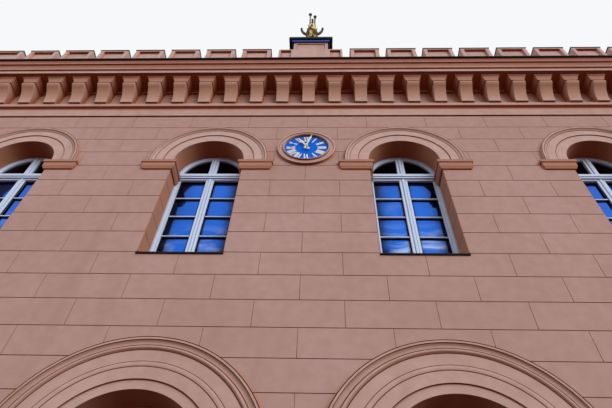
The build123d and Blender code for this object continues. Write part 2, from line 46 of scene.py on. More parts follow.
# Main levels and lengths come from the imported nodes, in metres.
pierLow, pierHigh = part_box("ground_piers")
upperLow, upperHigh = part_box("upper_piers")
friezeLow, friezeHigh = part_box("frieze")
corniceLow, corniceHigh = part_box("cornice")
merlonLow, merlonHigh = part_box("merlons")
pedestalLow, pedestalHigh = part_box("pedestal")
capLow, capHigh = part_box("pedestal_cap")
ornamentLow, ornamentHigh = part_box("ornament")
ringLow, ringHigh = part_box("clock_ring")
dialLow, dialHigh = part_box("clock_dial")

building = {
    "halfLength": pierHigh.x,
    "halfDepth": pierHigh.y,
    "bay": 3.6,
    "frontBays": 4,
    "sideBays": 2,
    "plinthTop": pierLow.z,
    "groundSill": pierLow.z + 0.45,
    "groundSpring": pierHigh.z,
    "groundRadius": 0.9,
    "upperSill": upperLow.z,
    "upperSpring": upperHigh.z,
    "upperRadius": 0.65,
    "reveal": 0.36,      # depth of a jamb in front of its frame
    "stilt": 0.06,       # straight part of a head under its springing line
    "doorFoot": 0.15,
    "doorHeight": 2.7,
}
halfLength = building["halfLength"]
halfDepth = building["halfDepth"]
reveal = building["reveal"]

# name: turn, distance of the face, half length, bays
sides = {
    "front": (0, halfDepth, halfLength, building["frontBays"]),
    "right": (90, halfLength, halfDepth, building["sideBays"]),
    "back": (180, halfDepth, halfLength, building["frontBays"]),
    "left": (-90, halfLength, halfDepth, building["sideBays"]),
}


def sidePlace(side):
    # local x runs along the wall, y into it, z up
    turn, distance = sides[side][:2]
    return Matrix.Rotation(math.radians(turn), 4, "Z") @ Matrix.Translation((0, -distance, 0))


def bayMiddles(side):
    count = sides[side][3]
    return [(i - (count - 1) / 2) * building["bay"] for i in range(count)]


def isDoor(side, x):
    return side == "front" and abs(x) < building["bay"]


def openingsOf(side):
    # middle, radius, foot and springing of each opening
    found = []
    for x in bayMiddles(side):
        foot = building["doorFoot"] if isDoor(side, x) else building["groundSill"]
        found.append((x, building["groundRadius"], foot, building["groundSpring"]))
        found.append((x, building["upperRadius"], building["upperSill"], building["upperSpring"]))
    return found


def everyOpening():
    for side in sides:
        for opening in openingsOf(side):
            yield (side, sidePlace(side), *opening)


# Nodes

def isSocket(value):
    return isinstance(value, bpy.types.NodeSocket)


def addNode(kind, inputs, tree=None, **settings):
    # an input takes another node's output, a colour or a number
    tree = tree or next(v.id_data for v in inputs.values() if isSocket(v))
    node = tree.nodes.new(kind)
    for name, value in settings.items():
        setattr(node, name, value)
    for name, value in inputs.items():
        socket = node.inputs[name]
        if isSocket(value):
            tree.links.new(value, socket)
        else:
            socket.default_value = (*value, 1) if socket.type == "RGBA" else value
    return node


def noiseField(place, scale, detail=4.0, stretch=(1, 1, 1), distortion=0.0):
    mapping = addNode("ShaderNodeMapping", {"Vector": place, "Scale": stretch})
    sizes = {"Scale": scale, "Detail": detail, "Distortion": distortion}
    return addNode("ShaderNodeTexNoise", {"Vector": mapping.outputs[0], **sizes}).outputs["Fac"]


def spread(value, low, high, toLow=0.0, toHigh=1.0):
    limits = {"From Min": low, "From Max": high, "To Min": toLow, "To Max": toHigh}
    return addNode("ShaderNodeMapRange", {"Value": value, **limits}).outputs["Result"]


def combine(kind, first, second):
    return addNode("ShaderNodeMath", {0: first, 1: second}, operation=kind).outputs[0]


def blendColour(factor, first, second):
    return addNode("ShaderNodeMix", {0: factor, 6: first, 7: second}, data_type="RGBA").outputs[2]


def axisValue(vector, axis):
    return addNode("ShaderNodeSeparateXYZ", {0: vector}).outputs[axis]


def shelterField(tree, reach, samples=8):
    return addNode("ShaderNodeAmbientOcclusion", {"Distance": reach}, tree, samples=samples).outputs["AO"]


def uprightField(tree):
    # 1 where a face looks up, -1 where it looks down
    return axisValue(tree.nodes.new("ShaderNodeNewGeometry").outputs["Normal"], 2)


def newMaterial(name, roughness, shine, metallic=0.0):
    material = bpy.data.materials.new(name)
    material.use_nodes = True
    tree = material.node_tree
    shader = tree.nodes["Principled BSDF"]
    for label, value in (("Roughness", roughness), ("Metallic", metallic), ("Specular IOR Level", shine)):
        shader.inputs[label].default_value = value
    return material, tree, tree.nodes.new("ShaderNodeTexCoord").outputs["Object"]


def paintWith(tree, colour, height, strength, distance, roughness=None):
    shader = tree.nodes["Principled BSDF"]
    tree.links.new(colour, shader.inputs["Base Color"])
    if roughness is not None:
        tree.links.new(roughness, shader.inputs["Roughness"])
    bump = addNode("ShaderNodeBump", {"Height": height, "Strength": strength, "Distance": distance})
    tree.links.new(bump.outputs["Normal"], shader.inputs["Normal"])


def times(tone, share):
    return tuple(min(1.0, share * c) for c in tone)


# Materials

paint = {
    "wall": (0.455, 0.275, 0.235),
    "wallPale": (0.50, 0.315, 0.275),
    "wallDirty": (0.34, 0.19, 0.15),
    "parapet": (0.61, 0.405, 0.360),
    "moulding": (0.53, 0.330, 0.275),
    "mouldingPale": (0.58, 0.38, 0.325),
    "bounceTint": (0.53, 0.225, 0.12),         # painted bounce light and shade: warmer, redder where render faces render or looks down
    # the next tone is painted bounce light and shade for the mouldings
    "brownBounceTint": (0.40, 0.21, 0.135),
    # the impost's render tone, darkened and reddened as painted shade for its cove
    "impost": (0.43, 0.205, 0.145),
    "ring": (0.60, 0.40, 0.345),
    "console": (0.60, 0.39, 0.325),
    # the next tone is painted bounce light and shade for the consoles
    "consoleBounceTint": (0.58, 0.30, 0.20),
    # the reveal's render tone, warmed to orange as painted bounce light in the jambs
    "reveal": (0.54, 0.25, 0.15),
    "hollow": (0.30, 0.065, 0.022),      # painted shade in hollows and under ledges
    "foot": (0.16, 0.038, 0.020),        # painted shadow line along the foot of the frieze
    "quirk": (0.105, 0.028, 0.015),      # painted shade in the narrow grooves
    "joint": (0.22, 0.095, 0.070),
    "timber": (0.62, 0.73, 0.92),
    "timberShade": (0.17, 0.19, 0.33),
    "door": (0.20, 0.27, 0.34),
    # painted reflections in the panes: deep sky, thin cloud and the dark reveal
    "pane": (0.026, 0.160, 0.72),
    "paneDeep": (0.016, 0.105, 0.55),
    "cloudReflection": (0.62, 0.74, 0.93),
    "paneDarkReflection": (0.012, 0.009, 0.011),
    "sheet": (0.006, 0.007, 0.011),
    # the band's blue is a painted reflection of the sky on the metal
    "blueSheet": (0.075, 0.150, 0.58),
    "zinc": (0.20, 0.22, 0.24),
    "dial": (0.003, 0.125, 0.68),
    "dialPale": (0.005, 0.15, 0.76),
    "gold": (0.86, 0.70, 0.34),
    "goldPale": (0.95, 0.84, 0.52),
    "numeral": (0.98, 0.92, 0.78),
    "numeralPale": (1.0, 0.97, 0.88),
    "ornament": (0.86, 0.60, 0.12),
    "patina": (0.022, 0.015, 0.008),
    "stone": (0.30, 0.24, 0.21),
    "screed": (0.42, 0.39, 0.36),
}


def renderMaterial(name, tone, pale, reach, bounceTintTo=0.93, deep=(0.10, 0.48), shadowBands=(), bounceTint="bounceTint"):
    # painted lime render: soft patches, rain streaks, trowel marks and a fine sandy grain,
    # with painted bounce light and painted shade: darker and redder in hollows and under ledges
    material, tree, place = newMaterial(name, 0.88, 0.25)
    patches = spread(noiseField(place, 0.55, 5), 0.35, 0.7)
    mottle = spread(noiseField(place, 7.0, 6), 0.35, 0.65)
    streaks = spread(noiseField(place, 2.4, 5, (1, 1, 0.10)), 0.56, 0.82, 0.0, 0.42)
    grain = noiseField(place, 240.0, 3)
    trowel = noiseField(place, 9.0, 4, (1, 1, 2.2), 0.6)
    colour = blendColour(patches, paint[tone], paint[pale])
    for share in (combine("MULTIPLY", mottle, 0.22), streaks, spread(grain, 0.3, 0.75, 0.0, 0.16)):
        colour = blendColour(share, colour, paint["wallDirty"])
    shelter, upright = shelterField(tree, reach), uprightField(tree)
    # painted bounce light and shade: a warmer, redder tint where the render is enclosed or looks down
    bounceTintMask = spread(shelter, 0.55, bounceTintTo, 0.95, 0.0)
    bounceTintMask = combine("MAXIMUM", bounceTintMask, spread(upright, -0.5, -0.08, 0.8, 0.0))
    colour = blendColour(bounceTintMask, colour, paint[bounceTint])
    # painted shade: darker and redder in deep hollows, on faces that look down and in given bands
    hidden = spread(shelter, *deep, 1.0, 0.0)
    hidden = combine("MAXIMUM", hidden, spread(upright, -0.98, -0.72, 0.9, 0.0))
    for low, high, share in shadowBands:
        # a painted shadow band between two levels
        height = axisValue(place, 2)
        above = spread(height, low - 0.006, low + 0.006, 0.0, share)
        below = spread(height, high - 0.006, high + 0.006, 1.0, 0.0)
        hidden = combine("MAXIMUM", hidden, combine("MULTIPLY", above, below))
    colour = blendColour(hidden, colour, paint["hollow"])
    bumps = combine("ADD", combine("MULTIPLY", grain, 0.4), trowel)
    paintWith(tree, colour, bumps, 0.35, 0.004, spread(mottle, 0.0, 1.0, 0.8, 0.95))
    return material


wallRender = renderMaterial("wallRender", "wall", "wallPale", 0.12, 0.80)
parapetRender = renderMaterial("parapetRender", "parapet", "mouldingPale", 0.16, 0.80)
revealRender = renderMaterial("revealRender", "reveal", "reveal", 0.35)
mouldedRender = renderMaterial("mouldedRender", "moulding", "mouldingPale", 0.16, bounceTint="brownBounceTint")
impostRender = renderMaterial("impostRender", "impost", "impost", 0.16)
ringRender = renderMaterial("ringRender", "ring", "ring", 0.07, 0.75, bounceTint="brownBounceTint")
# the frieze carries a band of painted shade in its cove
friezeRender = renderMaterial(
    "friezeRender", "moulding", "mouldingPale", 0.16, deep=(0.02, 0.26),
    shadowBands=[(friezeLow.z + 0.286, friezeLow.z + 0.314, 0.9)],
)
# the consoles carry painted shadow under their abacus and painted shade under the cornice
consoleRender = renderMaterial(
    "consoleRender", "console", "ring", 0.32, deep=(0.36, 0.70), bounceTint="consoleBounceTint",
    shadowBands=[(friezeHigh.z + 0.474, friezeHigh.z + 0.514, 0.95), (friezeHigh.z + 0.514, corniceLow.z + 0.1, 0.28)],
)
# the cornice carries painted shade in its cove and painted shadow under the flashing
corniceRender = renderMaterial(
    "corniceRender", "moulding", "mouldingPale", 0.20,
    shadowBands=[
        (corniceLow.z + 0.150, corniceLow.z + 0.262, 0.40), (corniceLow.z + 0.290, corniceHigh.z + 0.1, 0.72),
    ],
)


def plainMaterial(name, tone, other, noise, blend, bump, roughness, shine):
    # two tones in cloudy patches over a rough or fine skin
    material, tree, place = newMaterial(name, roughness, shine)
    cloudy = spread(noiseField(place, *noise), *blend)
    paintWith(tree, blendColour(cloudy, tone, other), noiseField(place, *bump[:2]), *bump[2:])
    return material


def jointMaterial(name, tone):
    return plainMaterial(name, tone, times(tone, 0.6), (5.0, 5), (0.3, 0.7), (120.0, 3, 0.3, 0.003), 0.95, 0.1)


def stoneMaterial():
    material, tree, place = newMaterial("plinthStone", 0.8, 0.35)
    clouds = spread(noiseField(place, 1.3, 6), 0.3, 0.7)
    crystals = addNode("ShaderNodeTexVoronoi", {"Vector": place, "Scale": 95.0})
    colour = blendColour(clouds, paint["stone"], times(paint["stone"], 1.35))
    fleck = spread(crystals.outputs["Distance"], 0.1, 0.5, 0.35, 0.0)
    colour = blendColour(fleck, colour, times(paint["stone"], 0.4))
    paintWith(tree, colour, noiseField(place, 60.0, 5), 0.4, 0.004)
    return material


def timberMaterial(name, tone, shade, roughness):
    # gloss paint over fine grain, with a little grime, and painted shade in hollows and on faces that look down
    material, tree, place = newMaterial(name, roughness, 0.5)
    grime = spread(noiseField(place, 3.2, 5), 0.45, 0.8, 0.0, 0.35)
    strokes = noiseField(place, 34.0, 4, (1, 1, 0.06))
    colour = blendColour(grime, tone, times(tone, 0.82))
    # painted shade: darker and bluer in hollows and where a face looks down
    sheltered = spread(shelterField(tree, 0.05), 0.25, 0.85, 0.85, 0.0)
    down = spread(uprightField(tree), -0.9, -0.3, 0.7, 0.0)
    colour = blendColour(combine("MAXIMUM", sheltered, down), colour, shade)
    polish = spread(strokes, 0.3, 0.7, roughness - 0.08, roughness + 0.12)
    paintWith(tree, colour, strokes, 0.18, 0.002, polish)
    return material


def glassMaterial():
    # panes carry a painted reflection of a deep clear sky, with thin cloud low down; a mirror tint takes the
    # place of the dark room behind, and the round heads carry a painted dark reflection and stay nearly black
    material, tree, place = newMaterial("paneGlass", 0.03, 0.5, metallic=1.0)
    height, sill = axisValue(place, 2), building["upperSill"]
    wisps = spread(noiseField(place, 1.7, 7, (1, 1, 2.2), 0.7), 0.47, 0.66)
    under = spread(height, sill + 0.25, sill + 1.15, 1.0, 0.0)
    under = combine("MULTIPLY", under, spread(height, sill - 0.6, sill, 0.3, 1.0))
    for share in (under, spread(axisValue(place, 0), -3.0, 1.6, 0.35, 1.0)):
        wisps = combine("MULTIPLY", wisps, share)
    thin = spread(noiseField(place, 0.8, 4, (1, 1, 1.6), 0.3), 0.60, 0.85, 0.0, 0.28)
    deep = spread(noiseField(place, 0.6, 2), 0.3, 0.7)
    sky = blendColour(deep, paint["pane"], paint["paneDeep"])
    colour = blendColour(combine("MAXIMUM", wisps, thin), sky, paint["cloudReflection"])
    upperHead = combine("GREATER_THAN", height, building["upperSpring"] - 0.02)
    lowerHead = combine("GREATER_THAN", height, building["groundSpring"] - 0.02)
    lowerHead = combine("MULTIPLY", combine("LESS_THAN", height, sill), lowerHead)
    # painted dark reflection of the reveal in the glass beside it
    revealReflectionMask = spread(shelterField(tree, 0.6, 16), 0.675, 0.745, 0.97, 0.0)
    darkReflectionMask = combine("MAXIMUM", combine("MAXIMUM", upperHead, lowerHead), revealReflectionMask)
    colour = blendColour(darkReflectionMask, colour, paint["paneDarkReflection"])
    paintWith(tree, colour, noiseField(place, 2.2, 2), 0.05, 0.01, spread(deep, 0.0, 1.0, 0.03, 0.08))
    return material


def sheetMaterial(name, tone, roughness, metallic, shine=0.5):
    material, tree, place = newMaterial(name, roughness, shine, metallic)
    wear = spread(noiseField(place, 4.5, 6), 0.4, 0.75, 0.0, 0.5)
    runs = spread(noiseField(place, 6.0, 4, (1, 1, 0.15)), 0.5, 0.8, 0.0, 0.4)
    colour = blendColour(wear, tone, times(tone, 1.7))
    colour = blendColour(runs, colour, times(tone, 0.6))
    dull = spread(wear, 0.0, 0.5, roughness, roughness + 0.2)
    paintWith(tree, colour, noiseField(place, 14.0, 3), 0.12, 0.003, dull)
    return material


def goldMaterial(name, tone, light, metallic, wear=0.45):
    material, tree, place = newMaterial(name, 0.34, 0.5, metallic)
    leaf = spread(noiseField(place, 16.0, 5), 0.35, 0.7)
    worn = spread(noiseField(place, 48.0, 4), 0.6, 0.85, 0.0, wear)
    colour = blendColour(worn, blendColour(leaf, tone, light), times(tone, 0.42))
    paintWith(tree, colour, noiseField(place, 70.0, 4), 0.2, 0.0015, spread(leaf, 0.0, 1.0, 0.24, 0.42))
    return material


def agedGoldMaterial():
    # gilding that has gone dark, bright only towards the middle of the ornament
    material, tree, place = newMaterial("agedGold", 0.5, 0.12)
    away = combine("ABSOLUTE", axisValue(place, 0), 0.0)
    top = ornamentLow.z + 1.9
    under = spread(axisValue(place, 2), top - 0.1, top + 0.1, 1.0, 0.12)
    middle = combine("MULTIPLY", spread(away, 0.06, 0.14, 1.0, 0.08), under)
    leaf = spread(noiseField(place, 7.0, 3, (1, 1, 0.45)), 0.46, 0.58)
    colour = blendColour(combine("MULTIPLY", middle, leaf), paint["patina"], paint["ornament"])
    paintWith(tree, colour, noiseField(place, 70.0, 4), 0.2, 0.0015, spread(leaf, 0.0, 1.0, 0.55, 0.35))
    return material


jointRender = jointMaterial("jointRender", paint["joint"])
# dark strips of painted shade in the grooves of the mouldings
quirkRender = jointMaterial("quirkRender", paint["quirk"])
# a dark strip of painted shadow along the foot of the frieze
hollowRender = jointMaterial("hollowRender", paint["foot"])
plinthStone = stoneMaterial()
paintedTimber = timberMaterial("paintedTimber", paint["timber"], paint["timberShade"], 0.34)
doorTimber = timberMaterial("doorTimber", paint["door"], times(paint["door"], 0.4), 0.4)
paneGlass = glassMaterial()
darkSheet = sheetMaterial("darkSheet", paint["sheet"], 0.55, 0.0, 0.2)
blueSheet = sheetMaterial("blueSheet", paint["blueSheet"], 0.3, 1.0)
zincSheet = sheetMaterial("zincSheet", paint["zinc"], 0.45, 0.6)
goldLeaf = goldMaterial("goldLeaf", paint["gold"], paint["goldPale"], 0.3)
numeralGold = goldMaterial("numeralGold", paint["numeral"], paint["numeralPale"], 0.0, 0.10)
agedGold = agedGoldMaterial()
dialEnamel = plainMaterial(
    "dialEnamel", paint["dial"], paint["dialPale"], (9.0, 5), (0.3, 0.75), (26.0, 3, 0.1, 0.002), 0.6, 0.05
)
floorScreed = plainMaterial(
    "floorScreed", paint["screed"], times(paint["screed"], 0.8), (0.9, 6), (0.3, 0.7),
    (40.0, 4, 0.2, 0.003), 0.75, 0.3,
)
print("materials made")


# Mesh helpers: a shape is a bmesh that several calls add to

def addLoft(shape, rings, place=None, closed=False):
    place = place or Matrix.Identity(4)
    made = [[shape.verts.new(place @ Vector(p)) for p in ring] for ring in rings]
    pairs = list(zip(made, made[1:]))
    if closed:
        pairs.append((made[-1], made[0]))
    count = len(rings[0])
    for first, second in pairs:
        for i in range(count):
            j = (i + 1) % count
            shape.faces.new((first[i], first[j], second[j], second[i]))
    if not closed:
        shape.faces.new(made[0][::-1])
        shape.faces.new(made[-1])


def addBlock(shape, x0, x1, y0, y1, z0, z1, place=None):
    ring = [(x0, y0), (x1, y0), (x1, y1), (x0, y1)]
    addLoft(shape, [[(x, y, z) for x, y in ring] for z in (z0, z1)], place)


def circlePoints(radius, steps):
    turns = [math.tau * k / steps for k in range(steps)]
    return [(radius * math.cos(a), radius * math.sin(a)) for a in turns]


def headRings(x, spring, radius, drop, profile, steps=36):
    # profile points are (outwards from the opening, forwards of the wall's face)
    angles = [math.pi - math.pi * i / steps for i in range(steps + 1)]
    stations = [(math.cos(angle), math.sin(angle), 0) for angle in angles]
    if drop:
        stations = [(-1, 0, -drop)] + stations + [(1, 0, -drop)]
    return [
        [
            (x + across * (radius + out), -forward, spring + up * (radius + out) + lift)
            for out, forward in profile
        ]
        for across, up, lift in stations
    ]


def runRings(path, profile, closed=False):
    # path is in plan, with the outside on its right hand; profile points are (outwards, height)
    rings = []
    last = len(path) - 1
    for i, (x, y) in enumerate(path):
        normals = []
        for a, b in ((i - 1, i), (i, i + 1)):
            if closed or (a >= 0 and b <= last):
                start = Vector(path[a % len(path)])
                way = (Vector(path[b % len(path)]) - start).normalized()
                normals.append(Vector((way.y, -way.x)))
        mitre = normals[0]
        if len(normals) == 2:
            mitre = (normals[0] + normals[1]) / (1 + normals[0].dot(normals[1]))
        rings.append([(x + mitre.x * out, y + mitre.y * out, z) for out, z in profile])
    return rings


def addAround(shape, path, profile, base):
    # one closed ring of a profile, with heights from the base
    addLoft(shape, runRings(path, [(a, base + b) for a, b in profile], True), closed=True)


aroundWalls = [
    (-halfLength, -halfDepth), (halfLength, -halfDepth), (halfLength, halfDepth), (-halfLength, halfDepth),
]


def placeMesh(name, shape):
    mesh = bpy.data.meshes.new(name)
    shape.to_mesh(mesh)
    shape.free()
    piece = bpy.data.objects.new(name, mesh)
    bpy.context.scene.collection.objects.link(piece)
    return piece


def smoothMesh(mesh, crease=32):
    mesh.shade_smooth()
    mesh.set_sharp_from_angle(angle=math.radians(crease))


def bevelEdges(piece, width, angle=50):
    modifier = piece.modifiers.new("arris", "BEVEL")
    modifier.width = width
    modifier.segments = 1
    modifier.limit_method = "ANGLE"
    modifier.angle_limit = math.radians(angle)


def finishPiece(name, shape, material, crease=32, bevel=0.0):
    bmesh.ops.recalc_face_normals(shape, faces=shape.faces)
    piece = placeMesh(name, shape)
    piece.data.materials.append(material)
    smoothMesh(piece.data, crease)
    if bevel:
        bevelEdges(piece, bevel, 40)
    return piece


def dress(piece, slot, *replaced, body="building"):
    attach(piece, body)
    if replaced:
        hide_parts(*replaced)
    return piece


# Node trees for what repeats

def newTree(name, sizes):
    tree = bpy.data.node_groups.new(name, "GeometryNodeTree")
    for label, kind in {"Geometry": "Geometry", **sizes, "Material": "Material"}.items():
        tree.interface.new_socket(label, in_out="INPUT", socket_type="NodeSocket" + kind)
    tree.interface.new_socket("Geometry", in_out="OUTPUT", socket_type="NodeSocketGeometry")
    return tree, tree.nodes.new("NodeGroupInput").outputs


def finishTree(tree, start, geometry):
    whole = addNode("GeometryNodeRealizeInstances", {"Geometry": geometry})
    given = {"Geometry": whole.outputs[0], "Material": start["Material"]}
    addNode("NodeGroupOutput", {"Geometry": addNode("GeometryNodeSetMaterial", given).outputs[0]})
    return tree


def applyTree(piece, tree, values):
    modifier = piece.modifiers.new("nodes", "NODES")
    modifier.node_group = tree
    for item in tree.interface.items_tree:
        if item.name in values:
            modifier[item.identifier] = values[item.name]
    bpy.context.view_layer.update()
    graph = bpy.context.evaluated_depsgraph_get()
    mesh = bpy.data.meshes.new_from_object(piece.evaluated_get(graph))
    piece.modifiers.remove(modifier)
    piece.data = mesh
    mesh.name = piece.name
    smoothMesh(mesh)


def rowTree():
    # copies a piece along a line: used for consoles and merlons
    tree, start = newTree("evenRow", {"Count": "Int", "Step": "Vector"})
    row = {"Count": start["Count"], "Offset": start["Step"]}
    line = addNode("GeometryNodeMeshLine", row, mode="OFFSET", count_mode="TOTAL")
    each = {"Points": line.outputs[0], "Instance": start["Geometry"]}
    return finishTree(tree, start, addNode("GeometryNodeInstanceOnPoints", each).outputs[0])


def plateTree():
    # thickens every flat outline into a closed plate
    tree, start = newTree("ruledPlates", {"Thickness": "Float"})
    flat = start["Geometry"]
    thick = {"Mesh": flat, "Offset Scale": start["Thickness"], "Individual": True}
    front = addNode("GeometryNodeExtrudeMesh", thick, mode="FACES")
    back = addNode("GeometryNodeFlipFaces", {"Mesh": flat})
    join = addNode("GeometryNodeJoinGeometry", {"Geometry": front.outputs["Mesh"]})
    tree.links.new(back.outputs["Mesh"], join.inputs["Geometry"])
    weld = addNode("GeometryNodeMergeByDistance", {"Geometry": join.outputs[0], "Distance": 0.0002})
    return finishTree(tree, start, weld.outputs[0])


def barTree():
    # turns every edge into a square bar: used for glazing bars and roof seams
    tree, start = newTree("squareBars", {"Width": "Float"})
    line = addNode("GeometryNodeMeshToCurve", {"Mesh": start["Geometry"]})
    square = {"Width": start["Width"], "Height": start["Width"]}
    section = addNode("GeometryNodeCurvePrimitiveQuadrilateral", square)
    bar = {"Curve": line.outputs[0], "Profile Curve": section.outputs[0], "Fill Caps": True}
    return finishTree(tree, start, addNode("GeometryNodeCurveToMesh", bar).outputs[0])


def circleTree():
    # copies a piece round an upright axis: used for the leaves
    tree, start = newTree("roundCopies", {"Count": "Int", "Turn": "Float", "Centre": "Vector"})
    points = addNode("GeometryNodePoints", {"Count": start["Count"]})
    index = tree.nodes.new("GeometryNodeInputIndex").outputs[0]
    turn = addNode("ShaderNodeCombineXYZ", {"Z": combine("MULTIPLY", index, start["Turn"])})
    each = {"Points": points.outputs[0], "Instance": start["Geometry"], "Rotation": turn.outputs[0]}
    copies = addNode("GeometryNodeInstanceOnPoints", each)
    carry = {"Geometry": copies.outputs[0], "Translation": start["Centre"]}
    return finishTree(tree, start, addNode("GeometryNodeTransform", carry).outputs[0])


evenRow, ruledPlates, squareBars, roundCopies = rowTree(), plateTree(), barTree(), circleTree()
print("node trees made")


# Ruled render: one plate for each block, with open joints between

blocks = {
    "course": 0.45,
    "length": 1.2,
    "joint": 0.010,
    "upright": 0.005,    # the upright joints are finer
    "thickness": 0.007,
    "arris": 0.002,
    "arcStep": 0.045,
    "shortest": 0.3,     # a shorter end piece joins its neighbour
    "hidden": 0.03,      # how far a plate stops outside a round head
    "archReach": 1.585,  # outside of the ground moulding, from the middle of its arch
    "clear": 0.35,       # no upright joint comes nearer to it
    "overSill": 0.03,    # how far a jamb's plates start above the sill
    "overlap": 0.001,
    "lining": 0.014,
}


def clearOfArches(side, x, low, high):
    # an upright joint keeps away from the moulding of a ground arch
    if side not in ("front", "back") or high < building["groundSpring"]:
        return True
    rise = (low + high) / 2 - building["groundSpring"]
    if rise > blocks["archReach"]:
        return True
    reach = math.sqrt(blocks["archReach"] ** 2 - max(0.0, rise) ** 2)
    return all(abs(x - middle) > reach + blocks["clear"] for middle in bayMiddles(side))


def courseJoints(half, odd):
    step = blocks["length"]
    first = step / 2 if odd else 0.0
    count = int((half + first) / step) + 1
    joints = sorted({s * (first + i * step) for i in range(count) for s in (-1, 1)})
    return [-half] + [x for x in joints if abs(x) < half - blocks["shortest"]] + [half]


def blockFaces(x0, x1, z0, z1, heads):
    # the block's outline, cut by any opening in its way
    def lowest(x):
        level = z0
        for middle, radius, spring in heads:
            away = abs(x - middle)
            if away < radius:
                level = max(level, spring + math.sqrt(radius * radius - away * away))
        return level

    marks = {x0, x1}
    for middle, radius, spring in heads:
        marks.update((middle - radius, middle + radius))
        for rise in (z0 - spring, z1 - spring):
            if 0 <= rise < radius:
                reach = math.sqrt(radius * radius - rise * rise)
                marks.update((middle - reach, middle + reach))
    marks = sorted(x for x in marks if x0 <= x <= x1)
    chains = [[]]
    for a, b in zip(marks, marks[1:]):
        if b - a < 0.004:
            continue
        level = lowest((a + b) / 2)
        if level >= z1 - 0.002:
            chains.append([])
            continue
        chain = chains[-1]
        steps = 1 if level <= z0 + 1e-6 else max(2, math.ceil((b - a) / blocks["arcStep"]))
        if not chain:
            chain.append((a, min(z1, lowest(a + 1e-6))))
        for i in range(1, steps + 1):
            x = a + (b - a) * i / steps
            chain.append((x, min(z1, lowest(x - 1e-6))))
    outlines = []
    for low in chains:
        if len(low) > 1:
            top = [(low[-1][0], z1), (low[0][0], z1)]
            top = [p for p in top if all(abs(p[0] - q[0]) + abs(p[1] - q[1]) > 1e-4 for q in low)]
            outlines.append(low + top)
    return [outline for outline in outlines if len(outline) > 2]


def courseLevels():
    foot, step = building["plinthTop"], blocks["course"]
    below = round((building["upperSill"] - foot) / step)
    count = round((friezeLow.z - foot) / step)
    return [(foot + i * step, foot + (i + 1) * step, (i - below) % 2 == 1) for i in range(count)]


def ruledSide(side):
    shape, place, half = bmesh.new(), sidePlace(side), sides[side][2]
    if side in ("front", "back"):
        half += blocks["thickness"]
    gap, fine = blocks["joint"] / 2, blocks["upright"] / 2
    for low, high, odd in courseLevels():
        heads = []
        for x, radius, foot, spring in openingsOf(side):
            if foot < high - 0.01 and low < spring + radius:
                heads.append((x, radius if high <= spring + 0.01 else radius + blocks["hidden"], spring))
        first, *inner, last = courseJoints(half, odd)
        edges = [first] + [x for x in inner if clearOfArches(side, x, low, high)] + [last]
        for a, b in zip(edges, edges[1:]):
            near = a if a == first else a + fine
            far = b if b == last else b - fine
            for outline in blockFaces(near, far, low + gap, high - gap, heads):
                shape.faces.new([shape.verts.new(place @ Vector((x, 0, z))) for x, z in outline])
    outward = place.to_3x3() @ Vector((0, -1, 0))
    shape.normal_update()
    for face in shape.faces:
        if face.normal.dot(outward) < 0:
            face.normal_flip()
    piece = placeMesh(side + "Blocks", shape)
    applyTree(piece, ruledPlates, {"Thickness": blocks["thickness"], "Material": wallRender})
    bevelEdges(piece, blocks["arris"])
    dress(piece, "render")


def jambPlates():
    # the courses run on into the jambs
    shape = bmesh.new()
    thick, gap = blocks["thickness"], blocks["joint"] / 2
    for side, place, x, radius, foot, spring in everyOpening():
        for low, high, odd in courseLevels():
            z0, z1 = max(low + gap, foot + blocks["overSill"]), min(high - gap, spring)
            if z1 - z0 < 0.05:
                continue
            for hand in (-1, 1):
                near, far = sorted((x + hand * (radius - thick), x + hand * (radius + blocks["overlap"])))
                addBlock(shape, near, far, -thick, reveal, z0, z1, place)
    dress(finishPiece("jambBlocks", shape, revealRender, bevel=blocks["arris"]), "render")


def headLinings():
    # smooth render under each round head
    shape, thick = bmesh.new(), blocks["lining"]
    profile = [(0, 0), (thick, 0), (thick, -reveal), (0, -reveal)]
    for side, place, x, radius, foot, spring in everyOpening():
        addLoft(shape, headRings(x, spring, radius, 0, profile), place)
    dress(finishPiece("headLinings", shape, revealRender), "moulded_render")


for side in sides:
    ruledSide(side)
jambPlates()
headLinings()
print("ruled walls made")


# Mouldings round the heads

archivolt = {
    # outwards, forwards
    "ground": [
        (0, 0), (0, 0.045), (0.118, 0.045), (0.120, 0.060), (0.286, 0.060), (0.290, 0.064),
        (0.302, 0.067), (0.318, 0.068), (0.334, 0.067), (0.345, 0.064), (0.349, 0.060),
        (0.514, 0.060), (0.520, 0.066), (0.528, 0.078), (0.540, 0.084), (0.554, 0.082), (0.564, 0.074),
        (0.570, 0.066), (0.586, 0.062), (0.600, 0.062), (0.618, 0.066), (0.634, 0.076), (0.645, 0.088),
        (0.648, 0.090), (0.685, 0.090), (0.685, 0),
    ],
    "upper": [
        (0, 0), (0, 0.030), (0.188, 0.030), (0.190, 0.045), (0.345, 0.045), (0.349, 0.052),
        (0.358, 0.054), (0.370, 0.058), (0.380, 0.066), (0.388, 0.077), (0.391, 0.080), (0.440, 0.080),
        (0.440, 0),
    ],
    # painted shade in the grooves, as dark strips: from, to, how far forward
    "groundQuirks": [
        (0.117, 0.125, 0.0612), (0.279, 0.289, 0.0612), (0.346, 0.355, 0.0618), (0.506, 0.519, 0.0625),
        (0.562, 0.577, 0.0700), (0.641, 0.648, 0.0905), (0.674, 0.685, 0.0912),
    ],
    "upperQuirks": [
        (0.187, 0.193, 0.0460), (0.343, 0.350, 0.0505), (0.392, 0.398, 0.0808), (0.431, 0.439, 0.0808),
    ],
    "quirkDepth": 0.004,
    "steps": 44,
}


# a thin dark strip that carries painted shade in a groove
def grooveStrip(near, far, forward, depth):
    return [(near, forward - depth), (near, forward), (far, forward), (far, forward - depth)]


